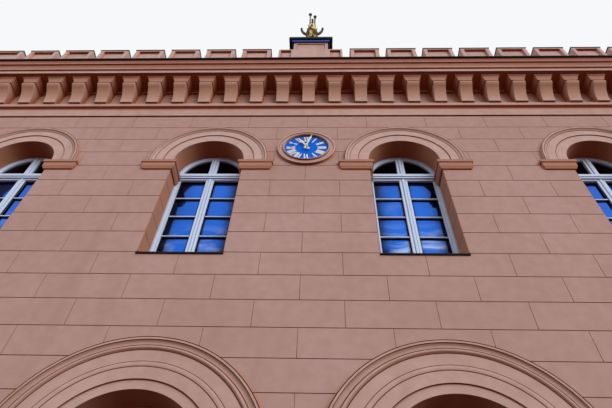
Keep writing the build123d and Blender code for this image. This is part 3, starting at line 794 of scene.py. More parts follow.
def archivolts(storey, material):
    shape, grooves = bmesh.new(), bmesh.new()
    stilt, steps = building["stilt"], archivolt["steps"]
    for side, place, x, radius, foot, spring in everyOpening():
        if radius != building[storey + "Radius"]:
            continue
        addLoft(shape, headRings(x, spring, radius, stilt, archivolt[storey], steps), place)
        if side == "front":
            for quirk in archivolt[storey + "Quirks"]:
                strip = grooveStrip(*quirk, archivolt["quirkDepth"])
                addLoft(grooves, headRings(x, spring, radius, stilt, strip, steps), place)
    dress(finishPiece(storey + "Heads", shape, material, crease=28), "moulded_render", storey + "_archivolts")
    dress(finishPiece(storey + "HeadQuirks", grooves, quirkRender, crease=28), "moulded_render")


archivolts("ground", mouldedRender)
archivolts("upper", ringRender)


impost = {
    # outwards, height above the impost's foot
    "profile": [
        (0.0, 0.0), (0.020, 0.0), (0.034, 0.006), (0.042, 0.020), (0.046, 0.034), (0.052, 0.040),
        (0.060, 0.052), (0.062, 0.080), (0.062, 0.150), (0.066, 0.154), (0.066, 0.160), (0.082, 0.161),
        (0.082, 0.230), (0.0, 0.230),
    ],
    # radius of an opening: how far its impost runs
    "reach": {building["groundRadius"]: 1.70, building["upperRadius"]: 1.205},
    "height": 0.23,
    "return": 0.01,
}


def imposts():
    # the moulding turns round both ends: into the reveal and back to the wall
    shape = bmesh.new()
    out = max(p[0] for p in impost["profile"])
    for side, place, x, radius, foot, spring in everyOpening():
        low, far = spring - building["stilt"] - impost["height"], impost["reach"][radius] - out
        path = [(radius, reveal), (radius, 0), (far, 0), (far, impost["return"])]
        rings = runRings(path, [(a, low + b) for a, b in impost["profile"]])
        for hand in (-1, 1):
            addLoft(shape, [[(x + hand * px, py, pz) for px, py, pz in ring] for ring in rings], place)
    dress(finishPiece("impostMouldings", shape, impostRender, bevel=0.002), "moulded_render", "imposts")


imposts()
print("heads and imposts made")


# Frieze, consoles and cornice

bands = {
    # outwards from the wall's face, height above the frieze's foot
    "frieze": [
        (0.0, 0.0), (0.026, 0.0), (0.030, 0.006), (0.030, 0.278), (0.036, 0.281), (0.042, 0.290),
        (0.054, 0.300), (0.070, 0.307), (0.080, 0.309), (0.082, 0.315), (0.095, 0.316), (0.095, 0.421),
        (0.091, 0.425), (0.008, 0.425),
    ],
    # the bed mould, height above the cornice's foot
    "bed": [(0.008, -0.09), (0.050, -0.085), (0.056, -0.030), (0.072, -0.026), (0.072, 0.0), (0.0, 0.0)],
    "quirk": [(0.0, -0.014), (0.009, -0.014), (0.032, -0.002), (0.032, 0.007), (0.0, 0.007)],
    "cornice": [
        (-0.64, 0.0), (0.462, 0.0), (0.462, 0.014), (0.488, 0.014), (0.488, 0.0), (0.500, 0.0),
        (0.500, 0.112), (0.504, 0.115), (0.522, 0.115), (0.522, 0.121), (0.535, 0.121), (0.535, 0.140),
        (0.537, 0.165), (0.542, 0.195), (0.550, 0.225), (0.560, 0.250), (0.565, 0.262), (0.565, 0.265),
        (0.588, 0.265), (0.588, 0.271), (0.600, 0.271), (0.601, 0.300), (0.604, 0.350), (0.610, 0.400),
        (0.610, 0.410), (-0.64, 0.410),
    ],
}


def aroundBand(name, profile, base, material, *replaced, crease=28):
    shape = bmesh.new()
    addAround(shape, aroundWalls, profile, base)
    dress(finishPiece(name, shape, material, crease=crease), "moulded_render", *replaced)


console = {
    "width": 0.26,
    "pitch": 0.565,
    "arris": 0.010,
    # forwards, height above the console's foot
    "outline": [
        (0.0, 0.0), (0.138, 0.0), (0.140, 0.030), (0.146, 0.070), (0.156, 0.110), (0.170, 0.150),
        (0.190, 0.195), (0.214, 0.240), (0.244, 0.282), (0.278, 0.320), (0.312, 0.350), (0.344, 0.376),
        (0.368, 0.402), (0.380, 0.424), (0.380, 0.440), (0.370, 0.456), (0.352, 0.466), (0.345, 0.470),
        (0.345, 0.505), (0.0, 0.505),
    ],
    # how far each level of the abacus stands out, height above the console's foot
    "abacus": [
        (0.006, 0.505), (0.012, 0.508), (0.018, 0.535), (0.028, 0.570), (0.042, 0.606), (0.050, 0.622),
        (0.058, 0.624), (0.058, 0.634), (0.070, 0.638), (0.070, 0.675),
    ],
    "abacusDepth": 0.350,
}


def copyAlong(piece, count, step, bevel):
    # one piece copied along its wall
    material = piece.data.materials[0]
    applyTree(piece, evenRow, {"Count": count, "Step": step, "Material": material})
    bevelEdges(piece, bevel)
    return piece


def consoleRow(side):
    length, place = 2 * sides[side][2], sidePlace(side)
    count = round(length / console["pitch"])
    pitch = length / count
    x, half = (pitch - length) / 2, console["width"] / 2
    low, deep = friezeHigh.z, console["abacusDepth"]
    shape = bmesh.new()
    outline = [(-f, low + z) for f, z in console["outline"]]
    addLoft(shape, [[(x + s * half, y, z) for y, z in outline] for s in (-1, 1)], place)
    rings = []
    for out, z in console["abacus"]:
        left, right, front = x - half - out, x + half + out, -deep - out
        rings.append([(a, b, low + z) for a, b in ((left, 0), (left, front), (right, front), (right, 0))])
    addLoft(shape, rings, place)
    step = place.to_3x3() @ Vector((pitch, 0, 0))
    row = copyAlong(finishPiece(side + "Consoles", shape, consoleRender), count, step, console["arris"])
    dress(row, "moulded_render", side + "_consoles")


# one ring up to the cornice, so that the wall between the consoles is plain
bedLift = corniceLow.z - friezeLow.z
bedMould = [(a, bedLift + b) for a, b in bands["bed"]]
# a dark strip under the frieze as a painted shadow line
aroundBand("friezeQuirk", bands["quirk"], friezeLow.z, hollowRender, crease=32)
aroundBand("friezeBand", bands["frieze"] + bedMould, friezeLow.z, friezeRender, "frieze")
for side in sides:
    consoleRow(side)
aroundBand("corniceMoulding", bands["cornice"], corniceLow.z, corniceRender, "cornice")
print("cornice made")


# Parapet and battlement

battlement = {
    "width": 0.705,
    "gap": 0.205,
    "depth": 0.3,
    "border": 0.10,
    "headBorder": 0.055,
    "footBorder": 0.04,
    "splay": 0.012,
    "panelDepth": 0.062,
    "capThickness": 0.018,
    "capOverhang": 0.016,
    "arris": 0.004,
    "capArris": 0.002,
}
parapetOut = merlonHigh.x - halfLength


def addMerlon(shape, near, far, place):
    border, deep, thick = battlement["border"], battlement["panelDepth"], battlement["depth"]
    low, top = merlonLow.z, merlonHigh.z - battlement["capThickness"]

    def ring(y, inset):
        share = inset / border
        foot, head = low + share * battlement["footBorder"], top - share * battlement["headBorder"]
        return [
            (near + inset, y, foot), (far - inset, y, foot),
            (far - inset, y, head), (near + inset, y, head),
        ]

    edge = border - battlement["splay"]
    rings = [(thick - deep, border), (thick, edge), (thick, 0), (0, 0), (0, edge), (deep, border)]
    addLoft(shape, [ring(y, inset) for y, inset in rings], place)


def addMerlonCap(shape, near, far, place):
    out, high = battlement["capOverhang"], merlonHigh.z
    foot = high - battlement["capThickness"]
    addBlock(shape, near - out, far + out, -out, battlement["depth"] + out, foot, high, place)


def merlonPlace(side):
    return sidePlace(side) @ Matrix.Translation((0, -parapetOut, 0))


def merlonRow(name, side, near, count, pitch):
    # one merlon and its cap, copied along the wall
    place = merlonPlace(side)
    step = place.to_3x3() @ Vector((pitch, 0, 0))
    shape, cap = bmesh.new(), bmesh.new()
    addMerlon(shape, near, near + battlement["width"], place)
    addMerlonCap(cap, near, near + battlement["width"], place)
    arris, capArris = battlement["arris"], battlement["capArris"]
    dress(copyAlong(finishPiece(name, shape, parapetRender), count, step, arris), "render", "merlons")
    dress(copyAlong(finishPiece(name + "Caps", cap, darkSheet), count, step, capArris), "dark_metal")


def cornerMerlon(name, near, far):
    place = merlonPlace("front")
    shape, cap = bmesh.new(), bmesh.new()
    addMerlon(shape, near, far, place)
    addMerlonCap(cap, near, far, place)
    dress(finishPiece(name, shape, parapetRender, bevel=battlement["arris"]), "render")
    dress(finishPiece(name + "Cap", cap, darkSheet, bevel=battlement["capArris"]), "dark_metal")


def battlements():
    width, gap = battlement["width"], battlement["gap"]
    pitch = width + gap
    far = halfLength + parapetOut
    near = pedestalHigh.x + gap
    count = math.floor((far - near + gap) / pitch) - 1
    corner = near + count * pitch
    merlonRow("frontRightMerlons", "front", near, count, pitch)
    merlonRow("frontLeftMerlons", "front", -near - width, count, -pitch)
    cornerMerlon("frontRightCornerMerlon", corner, far)
    cornerMerlon("frontLeftCornerMerlon", -far, -corner)
    inside = halfDepth + parapetOut - battlement["depth"] - gap
    for side, half in (("back", far), ("left", inside), ("right", inside)):
        count = round((2 * half + gap) / pitch)
        merlonRow(side + "Merlons", side, -half, count, (2 * half - width) / (count - 1))


battlements()


pedestal = {
    "blockHalf": 0.437,
    "depth": pedestalHigh.y - pedestalLow.y,
    "border": 0.05,
    "panelDepth": 0.060,
    "blockBorder": 0.08,
    "blockPanelDepth": 0.022,
    # widths of the rim and the band under the cap, and the groove's depth
    "rim": 0.040,
    "band": 0.045,
    "groove": 0.034,
}


def addSunkFront(shape, xs, zs, sunk, deep, back, place):
    # a block whose front is a grid of cells, some of them set back
    grid = {}

    def corner(i, k, y):
        key = (i, k, round(y, 5))
        if key not in grid:
            grid[key] = shape.verts.new(place @ Vector((xs[i], y, zs[k])))
        return grid[key]

    def level(i, k):
        inside = 0 <= i < len(xs) - 1 and 0 <= k < len(zs) - 1
        return (deep if (i, k) in sunk else 0.0) if inside else back

    for i in range(len(xs) - 1):
        for k in range(len(zs) - 1):
            y = level(i, k)
            around = [(i, k), (i + 1, k), (i + 1, k + 1), (i, k + 1)]
            shape.faces.new([corner(a, b, y) for a, b in around])
            shape.faces.new([corner(a, b, back) for a, b in reversed(around)])
            for j, m, start, end in ((i - 1, k, 0, 3), (i + 1, k, 1, 2), (i, k - 1, 0, 1), (i, k + 1, 3, 2)):
                other, p, q = level(j, m), around[start], around[end]
                if other > y + 1e-6:
                    shape.faces.new((corner(*p, y), corner(*q, y), corner(*q, other), corner(*p, other)))


def pedestalPiece():
    # broad block with a sunk panel on each hand, and the narrow block that stands on it
    place = Matrix.Translation((0, pedestalLow.y, 0))
    half, inner, deep = pedestalHigh.x, pedestal["blockHalf"], pedestal["depth"]
    low, shoulder, high = pedestalLow.z, merlonHigh.z, pedestalHigh.z
    border, edge = pedestal["border"], pedestal["blockBorder"]
    shape = bmesh.new()
    xs = [-half, border - half, -inner - border, inner + border, half - border, half]
    zs = [low, merlonLow.z + battlement["footBorder"], shoulder - battlement["headBorder"], shoulder]
    addSunkFront(shape, xs, zs, {(1, 1), (3, 1)}, pedestal["panelDepth"], deep, place)
    xs, zs = [-inner, edge - inner, inner - edge, inner], [shoulder, high - edge, high]
    addSunkFront(shape, xs, zs, {(1, 0)}, pedestal["blockPanelDepth"], deep, place)
    dress(finishPiece("pedestalBlock", shape, parapetRender, bevel=0.003), "render", "pedestal")


def pedestalSheets():
    # dark capping: under it a flat rim, a sloping band in a groove whose blue is a painted reflection of the
    # sky, and a flat collar
    rim, groove = pedestal["rim"], pedestal["groove"]
    band = rim + pedestal["band"]
    edge, inner = rim + 0.008, capHigh.x - pedestal["blockHalf"] + 0.01
    top, under = groove + 0.002, groove - 0.002
    path = [(capLow.x, capLow.y), (capHigh.x, capLow.y), (capHigh.x, capHigh.y), (capLow.x, capHigh.y)]
    for name, profile, material in (
        ("Rim", [(-rim, 0), (0, 0), (0, top), (-rim, top)], darkSheet),
        ("Band", [(-band, 0.001), (-edge, under), (-edge, top), (-band, top)], blueSheet),
        ("Collar", [(-inner, 0), (-band, 0), (-band, top), (-inner, top)], darkSheet),
    ):
        ring = bmesh.new()
        addAround(ring, path, profile, capLow.z)
        dress(finishPiece("pedestal" + name, ring, material), "dark_metal")
    shape = bmesh.new()
    addBlock(shape, capLow.x, capHigh.x, capLow.y, capHigh.y, capLow.z + groove, capHigh.z)
    dress(finishPiece("pedestalCapping", shape, darkSheet, bevel=0.006), "dark_metal", "pedestal_cap")


pedestalPiece()
pedestalSheets()
print("battlement made")


# Sky side: roof seams on the four slopes

roof = {"seamWidth": 0.03, "seamPitch": 0.55, "seamLift": 0.012, "ridgeHalf": 0.12}


def roofSeams():
    low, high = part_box("roof")
    flat, lift = roof["ridgeHalf"], roof["seamLift"]
    ridge, rise = high.x - high.y + flat, high.z - low.z
    shape = bmesh.new()

    def seam(x0, y0, z0, x1, y1, z1):
        shape.edges.new((shape.verts.new((x0, y0, z0 + lift)), shape.verts.new((x1, y1, z1 + lift))))

    def marks(half):
        count = int(2 * half / roof["seamPitch"])
        return [-half + 2 * half * i / count for i in range(1, count)]

    for hand in (-1, 1):
        for x in marks(high.x):
            if hand > 0 or abs(x) >= pedestalHigh.x + 0.05:
                share = 1 - max(0.0, abs(x) - ridge) / (high.x - ridge)
                top = high.y + (flat - high.y) * share
                seam(x, hand * high.y, low.z, x, hand * top, low.z + rise * share)
        for y in marks(high.y):
            share = 1 - max(0.0, abs(y) - flat) / (high.y - flat)
            x = high.x + (ridge - high.x) * share
            seam(hand * high.x, y, low.z, hand * x, y, low.z + rise * share)
        for side in (-1, 1):
            seam(hand * high.x, side * high.y, low.z, hand * ridge, side * flat, high.z)
        seam(-ridge, hand * flat, high.z, ridge, hand * flat, high.z)
    piece = placeMesh("roofSeams", shape)
    applyTree(piece, squareBars, {"Width": roof["seamWidth"], "Material": zincSheet})
    dress(piece, "roof_metal")


roofSeams()


# Windows

window = {
    "frameWidth": 0.075,
    "frameDepth": 0.06,
    "mullion": 0.15,
    "transomOver": 0.04,     # above the springing line
    "transomUnder": 0.12,    # and below it
    "stile": 0.026,
    "bottomRail": 0.085,
    "fixedRail": 0.115,
    "leafFront": 0.010,  # behind the face of the fixed frame, as the next two are
    "leafBack": 0.05,
    "barDepth": 0.036,
    "bar": 0.025,
    "firstPane": 0.52,
    "pane": 0.5,
    "lastPane": 0.2,
    # a deep upper member, a fillet and a lower member, with grooves between: forwards, down
    "transom": [
        (-0.05, 0.0), (0.040, 0.0), (0.046, 0.006), (0.046, 0.070), (0.042, 0.075), (0.008, 0.077),
        (0.008, 0.084), (0.034, 0.086), (0.036, 0.092), (0.036, 0.118), (0.032, 0.122), (0.008, 0.124),
        (0.004, 0.130), (0.004, 0.158), (-0.05, 0.160),
    ],
    # half-round cover strip with two quirks, on a flat member: across, into the wall
    "strip": [
        (-0.032, 0.0), (-0.028, 0.008), (-0.024, -0.010), (-0.014, -0.018), (0.014, -0.018),
        (0.024, -0.010), (0.028, 0.008), (0.032, 0.0),
    ],
    # moulded inner edge of the fixed frame: share of its width, into the wall
    "edge": [(0.55, 0.0), (0.6, 0.006), (0.75, 0.008), (0.85, 0.016), (1.0, 0.022)],
}


def frameProfile():
    width, back = window["frameWidth"], -reveal - window["frameDepth"]
    edge = [(-width * share, -reveal - depth) for share, depth in window["edge"]]
    return [(0.02, -reveal)] + edge + [(-width, back), (0.02, back)]


def addTransom(shape, x, reach, top, place):
    outline = [(reveal - a, top - b) for a, b in window["transom"]]
    addLoft(shape, [[(x + s * reach, y, z) for y, z in outline] for s in (-1, 1)], place)


def addMullion(shape, x, low, high, place):
    half = window["mullion"] / 2
    left = [(-half, 0.05), (-half, 0.010), (-half + 0.006, 0.002)]
    outline = left + window["strip"] + [(-a, b) for a, b in reversed(left)]
    addLoft(shape, [[(x + a, reveal + b, z) for a, b in outline] for z in (low, high)], place)


def addCasement(shape, lines, x, hand, radius, low, top, place):
    # one leaf as a mitred ring; its glazing bars are lines here and end inside the stiles
    front, back = reveal + window["leafFront"], reveal + window["leafBack"]
    outer = radius - window["frameWidth"] + 0.002
    stile, rail = window["stile"], window["bottomRail"]
    inner = window["mullion"] / 2 - stile
    rings = []
    for a, z, inX, inZ in (
        (inner, low, stile, rail), (outer, low, -stile, rail),
        (outer, top, -stile, -0.012), (inner, top, stile, -0.012),
    ):
        near, far = x + hand * a, x + hand * (a + inX)
        rings.append([(near, front, z), (far, front + 0.004, z + inZ), (far, back, z + inZ), (near, back, z)])
    addLoft(shape, rings, place, closed=True)
    z = top - window["firstPane"]
    while z > low + rail + window["lastPane"]:
        ends = (inner + stile * 0.6, outer - stile * 0.6)
        marks = [place @ Vector((x + hand * a, reveal + window["barDepth"], z)) for a in ends]
        lines.edges.new([lines.verts.new(p) for p in marks])
        z -= window["pane"]


def windowPieces(storey):
    shape, leaves, lines = bmesh.new(), bmesh.new(), bmesh.new()
    for side, place, x, radius, foot, spring in everyOpening():
        if radius != building[storey + "Radius"]:
            continue
        addLoft(shape, headRings(x, spring, radius, spring - foot, frameProfile()), place)
        reach = radius - window["frameWidth"] + 0.004
        over, under = spring + window["transomOver"], spring - window["transomUnder"]
        addTransom(shape, x, reach, over, place)
        addMullion(shape, x, over - 0.05, spring + reach, place)
        if foot == building["doorFoot"]:
            lintel = foot + building["doorHeight"] + over - under
            addTransom(shape, x, reach, lintel, place)
            addMullion(shape, x, lintel - 0.02, under + 0.05, place)
            continue
        addMullion(shape, x, foot + 0.01, under + 0.05, place)
        low = foot + window["fixedRail"]
        back = reveal + window["leafBack"]
        addBlock(shape, x - reach, x + reach, reveal, back, foot + 0.008, low + 0.004, place)
        for hand in (-1, 1):
            addCasement(leaves, lines, x, hand, radius, low, under + 0.01, place)
    name = storey + "Window"
    dress(finishPiece(name + "Frames", shape, paintedTimber), "painted_timber", storey + "_frames")
    dress(finishPiece(name + "Leaves", leaves, paintedTimber, bevel=0.005), "painted_timber")
    bars = placeMesh(name + "Bars", lines)
    applyTree(bars, squareBars, {"Width": window["bar"], "Material": paintedTimber})
    bevelEdges(bars, 0.004)
    dress(bars, "painted_timber")


for storey in ("ground", "upper"):
    windowPieces(storey)
print("windows made")


# Entrance doors, panelled leaves with handles

door = {
    "panels": 3,
    "margin": 0.11,
    "face": 0.42,        # depth of the leaf's face behind the wall's face
    "thickness": 0.05,
    "rebate": 0.025,
    # raised and fielded panel inside a bolection frame: inset, into the leaf
    "panel": [
        (0, 0.004), (0, -0.012), (0.014, -0.018), (0.030, -0.012), (0.036, 0.002), (0.060, 0.002),
        (0.095, -0.010), (0.100, -0.010),
    ],
    # turned knob: into the leaf, radius
    "knob": [
        (0.0, 0.022), (-0.012, 0.022), (-0.014, 0.010), (-0.032, 0.010), (-0.040, 0.022),
        (-0.052, 0.026), (-0.062, 0.018), (-0.065, 0.004),
    ],
    "knobHeight": 1.05,
    "lockLow": 0.86,
    "lockHigh": 0.96,
}


def addPanel(shape, x0, x1, z0, z1, place):
    rings = []
    for inset, depth in door["panel"]:
        left, right, foot, head = x0 + inset, x1 - inset, z0 + inset, z1 - inset
        y = door["face"] + depth
        rings.append([(left, y, foot), (right, y, foot), (right, y, head), (left, y, head)])
    addLoft(shape, rings, place)


def entranceDoors():
    place, face, margin = sidePlace("front"), door["face"], door["margin"]
    shape, metal = bmesh.new(), bmesh.new()
    clear = building["groundRadius"] - window["frameWidth"]
    foot, height = building["doorFoot"], building["doorHeight"]
    head, rise = foot + height, (height - margin) / door["panels"]
    for x in (a for a in bayMiddles("front") if isDoor("front", a)):
        for hand in (-1, 1):
            near, far = sorted((x + hand * 0.002, x + hand * (clear + door["rebate"])))
            addBlock(shape, near, far, face, face + door["thickness"], foot, head + door["rebate"], place)
            left, right = sorted((x + hand * margin, x + hand * (clear - margin + 0.03)))
            for i in range(door["panels"]):
                low = foot + margin + i * rise
                addPanel(shape, left, right, low, low + rise - margin, place)
            knob, z = x + hand * 0.055, foot + door["knobHeight"]
            addLoft(metal, [
                [(knob + a, face + y, z + b) for a, b in circlePoints(r, 14)] for y, r in door["knob"]
            ], place)
            near, far = knob - 0.018, knob + 0.018
            low, high = foot + door["lockLow"], foot + door["lockHigh"]
            addBlock(metal, near, far, face - 0.004, face + 0.001, low, high, place)
        addBlock(shape, x - 0.016, x + 0.016, face - 0.014, face + 0.01, foot, head, place)
    dress(finishPiece("doorLeaves", shape, doorTimber, bevel=0.002), "door_timber", "entrance_doors")
    dress(finishPiece("doorKnobs", metal, goldLeaf), "gilding")


entranceDoors()
print("doors made")


# Clock

clock = {
    "height": (ringLow.z + ringHigh.z) / 2,
    # moulding of the ring, outwards from the dial: bead, shallow cove and fillet
    "ring": [
        (0, 0.0), (0, 0.066), (0.004, 0.077), (0.011, 0.084), (0.019, 0.085), (0.026, 0.079), (0.030, 0.068),
        (0.032, 0.058), (0.042, 0.050), (0.056, 0.046), (0.072, 0.047), (0.088, 0.053), (0.097, 0.060),
        (0.098, 0.065),
    ],
    "steps": 96,
    "numeralIn": 0.215,
    "numeralOut": 0.375,
    "stroke": 0.0176,
    "thin": 0.008,
    "serif": 0.0056,
    "standOff": 0.004,
    "relief": 0.010,
    "narrow": 0.030,     # width of an I, and of a V or an X
    "wide": 0.062,
    "hub": 0.032,
    "hubBore": 0.0125,
    "weight": 0.026,
    "weightBelow": 0.085,
    # share of the hand's length, half width there
    "minuteWidths": [
        (-0.22, 0.007), (0.0, 0.011), (0.30, 0.013), (0.62, 0.019), (0.70, 0.021), (0.74, 0.012),
        (0.98, 0.003),
    ],
    "hourWidths": [
        (-0.31, 0.007), (0.0, 0.013), (0.35, 0.016), (0.62, 0.025), (0.70, 0.027), (0.76, 0.014),
        (0.98, 0.003),
    ],
}
clockFace = Matrix.Translation((0, -halfDepth, clock["height"]))


def addTurned(shape, profile, place, steps):
    # profile points are (radius, forwards), turned about the clock's axis
    turns = circlePoints(1.0, steps)
    addLoft(shape, [[(r * a, -f, r * b) for r, f in profile] for a, b in turns], place, closed=True)


def clockRing():
    inner, outer, steps = dialHigh.x, ringHigh.x, clock["steps"]
    profile = [(inner + a, f) for a, f in clock["ring"]]
    profile += [(outer - 0.003, 0.065), (outer, 0.062), (outer, 0.0)]
    shape, grooves = bmesh.new(), bmesh.new()
    addTurned(shape, profile, clockFace, steps)
    # dark strips of painted shade in the ring's two grooves
    for quirk in ((inner + 0.031, inner + 0.036, 0.0595), (outer - 0.034, outer - 0.029, 0.0656)):
        addTurned(grooves, grooveStrip(*quirk, 0.006), clockFace, steps)
    dress(finishPiece("clockSurround", shape, ringRender, crease=26), "moulded_render", "clock_ring")
    dress(finishPiece("clockQuirks", grooves, quirkRender), "moulded_render")


def strokeBox(shape, place, x0, z0, x1, z1, wide):
    # one bar of a numeral, from point to point, with square ends
    way = (Vector((x1, z1)) - Vector((x0, z0))).normalized() * wide / 2
    corners = [(x0, z0, -1), (x1, z1, -1), (x1, z1, 1), (x0, z0, 1)]
    ring = [(x + s * way.y, z - s * way.x) for x, z, s in corners]
    addLoft(shape, [[(x, -y, z) for x, z in ring] for y in (clock["standOff"], clock["relief"])], place)


def addNumeral(shape, text, angle):
    # letters stand with their feet to the middle
    low, high = clock["numeralIn"], clock["numeralOut"]
    thick, thin, serif = clock["stroke"], clock["thin"], clock["serif"]
    place = Matrix.Translation((0, dialLow.y, clock["height"])) @ Matrix.Rotation(angle, 4, "Y")
    widths = [clock["narrow"] if letter == "I" else clock["wide"] for letter in text]
    x = -sum(widths) / 2
    for letter, wide in zip(text, widths):
        a, b, middle = x + 0.006, x + wide - 0.006, x + wide / 2
        strokes = {
            "I": [(middle, low, middle, high, thick)],
            "V": [(a + 0.004, high, middle, low, thick), (middle, low, b - 0.002, high, thin)],
            "X": [(a + 0.004, high, b - 0.004, low, thick), (a, low, b, high, thin)],
        }[letter]
        for z in ((high,) if letter == "V" else (low, high)):
            strokes.append((x + 0.002, z, x + wide - 0.002, z, serif))
        for stroke in strokes:
            strokeBox(shape, place, *stroke)
        x += wide


def clockNumerals():
    shape = bmesh.new()
    for i, text in enumerate("XII I II III IIII V VI VII VIII IX X XI".split()):
        addNumeral(shape, text, math.radians(30 * i))
    dress(finishPiece("dialNumerals", shape, numeralGold), "gilding")


def plainHand(name, node, widths):
    # a tapered bar with a ridge down its middle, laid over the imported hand's own line
    low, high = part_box(node)
    height, back, front = clock["height"], high.y, low.y
    middle, depth = (back + front) / 2, back - front
    tip = max((v.co for v in nodes[node].data.vertices), key=lambda p: math.hypot(p.x, p.z - height))
    length, angle = math.hypot(tip.x, tip.z - height), math.atan2(tip.x, tip.z - height)
    place = Matrix.Translation((0, 0, height)) @ Matrix.Rotation(angle, 4, "Y")
    shape = bmesh.new()
    addLoft(shape, [
        [(-half, middle, share * length), (0, front, share * length),
         (half, middle, share * length), (0, back, share * length)] for share, half in widths
    ], place)
    bore, hub, ball = clock["hubBore"], clock["hub"], clock["weight"]
    disc = [(bore, 0), (hub * 0.8, 0), (hub, 0.0015), (hub, 0.0045), (hub * 0.8, depth), (bore, depth)]
    addTurned(shape, disc, Matrix.Translation((0, back, height)), 32)
    rings = []
    for i in range(1, 8):
        tilt = math.pi * i / 8 - math.pi / 2
        y, round_ = middle + depth / 2 * math.sin(tilt) * 0.98, circlePoints(ball * math.cos(tilt), 18)
        rings.append([(a, y, b - clock["weightBelow"]) for a, b in round_])
    addLoft(shape, rings, place)
    dress(finishPiece(name, shape, goldLeaf, crease=24), "gilding", node, body=node)


clockRing()
clockNumerals()
plainHand("minutePointer", "minute_hand", clock["minuteWidths"])
plainHand("hourPointer", "hour_hand", clock["hourWidths"])
print("clock made")


# Gilded ornament on the pedestal

ornament = {
    "middle": Vector((0, (ornamentLow.y + ornamentHigh.y) / 2, ornamentLow.z)),
    "cup": 1.05,
    # radius, height
    "body": [
        (0.16, 0.0), (0.175, 0.02), (0.175, 0.05), (0.15, 0.07), (0.13, 0.10), (0.14, 0.13), (0.12, 0.17),
        (0.088, 0.25), (0.075, 0.36), (0.078, 0.50), (0.092, 0.58), (0.100, 0.60), (0.092, 0.62),
        (0.080, 0.66), (0.090, 0.74), (0.115, 0.84), (0.145, 0.94), (0.163, 1.02), (0.165, 1.05),
        (0.145, 1.10), (0.110, 1.25), (0.088, 1.42), (0.070, 1.60), (0.050, 1.76), (0.034, 1.88),
        (0.01, 1.90),
    ],
    # side, height of each stem
    "stems": [(-0.072, 2.79), (0.072, 2.59)],
    "stemFoot": 0.86,    # how far out a stem starts, as a share of how far out it ends
    "stemRadii": (0.027, 0.018),
    "stemSteps": 12,
    "collar": [(0.016, -0.150), (0.030, -0.142), (0.032, -0.130), (0.030, -0.118), (0.016, -0.110)],
    "knob": 0.05,
    # height, radius of the rod between the stems
    "rod": [(1.05, 0.026), (1.6, 0.022), (2.0, 0.018), (2.37, 0.008)],
    "beads": [2.07, 2.27],
    "bead": 0.036,
    "hornReach": 0.30,
    "hornRise": 0.52,
    "hornTip": 0.034,
    "hornRadius": 0.028,
    "hornSwell": 0.012,
    "hornSteps": 16,
    "leaves": 8,
    # outwards, height, half width
    "leaf": [
        (0.085, 0.70, 0.020), (0.108, 0.80, 0.042), (0.140, 0.92, 0.055), (0.162, 1.05, 0.058),
        (0.150, 1.18, 0.052), (0.128, 1.32, 0.042), (0.120, 1.44, 0.030), (0.130, 1.53, 0.018),
        (0.150, 1.57, 0.006),
    ],
}


def addTube(shape, points, place):
    # a round bar along a line of points (x, height, radius)
    rings = []
    path = [Vector((x, 0, z)) for x, z, radius in points]
    for i, point in enumerate(path):
        radius = points[i][2]
        way = (path[min(i + 1, len(path) - 1)] - path[max(i - 1, 0)]).normalized()
        across = way.cross(Vector((0, 1, 0))).normalized()
        up = across.cross(way)
        rings.append([point + across * a + up * b for a, b in circlePoints(radius, 14)])
    addLoft(shape, rings, place)


def addLathe(shape, profile, x, place):
    addLoft(shape, [[(x + a, b, z) for a, b in circlePoints(radius, 20)] for radius, z in profile], place)


def addBall(shape, radius, x, height, place, steps=10):
    turns = [math.pi * i / steps for i in range(steps + 1)]
    profile = [(max(0.002, radius * math.sin(a)), height - radius * math.cos(a)) for a in turns]
    addLathe(shape, profile, x, place)


def ornamentPiece():
    place = Matrix.Translation(ornament["middle"])
    cup, knob = ornament["cup"], ornament["knob"]
    shape = bmesh.new()
    addLathe(shape, ornament["body"], 0, place)
    foot, steps = ornament["stemFoot"], ornament["stemSteps"]
    thick, thin = ornament["stemRadii"]
    for side, height in ornament["stems"]:
        low, rise, points = cup - 0.05, height - knob - cup, []
        for s in (i / steps for i in range(steps + 1)):
            points.append((side * (foot + (1 - foot) * s), low + rise * s, thick + (thin - thick) * s))
        addTube(shape, points, place)
        addBall(shape, knob, side, height - knob, place)
        addLathe(shape, [(r, height + b) for r, b in ornament["collar"]], side, place)
    addTube(shape, [(0, height, radius) for height, radius in ornament["rod"]], place)
    for height in ornament["beads"]:
        addBall(shape, ornament["bead"], 0, height, place)
    for hand in (-1, 1):
        points, steps = [], ornament["hornSteps"]
        for angle in (math.pi / 2 * i / steps for i in range(steps + 1)):
            out, rise = ornament["hornReach"] * math.sin(angle), ornament["hornRise"] * (1 - math.cos(angle))
            radius = ornament["hornRadius"] + ornament["hornSwell"] * math.sin(2 * angle)
            points.append((hand * out, cup - ornament["hornTip"] + rise, radius))
        addTube(shape, points, place)
        addBall(shape, ornament["hornTip"], *points[-1][:2], place)
    dress(finishPiece("giltOrnament", shape, agedGold, crease=40), "gilding", "ornament")


def ornamentLeaves():
    # one long leaf that curls out at its tip, copied round the cup
    shape = bmesh.new()
    addLoft(shape, [
        [(out + 0.006, -half, z), (out + 0.018, 0, z), (out + 0.006, half, z), (out - 0.004, 0, z)]
        for out, z, half in ornament["leaf"]
    ])
    piece = finishPiece("giltLeaves", shape, agedGold)
    count = ornament["leaves"]
    around = {"Count": count, "Turn": math.tau / count, "Centre": ornament["middle"]}
    applyTree(piece, roundCopies, {**around, "Material": agedGold})
    dress(piece, "gilding")


ornamentPiece()
ornamentLeaves()
print("ornament made")


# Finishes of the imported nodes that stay

def keepNode(name, material):
    nodes[name].data.materials.clear()
    nodes[name].data.materials.append(material)


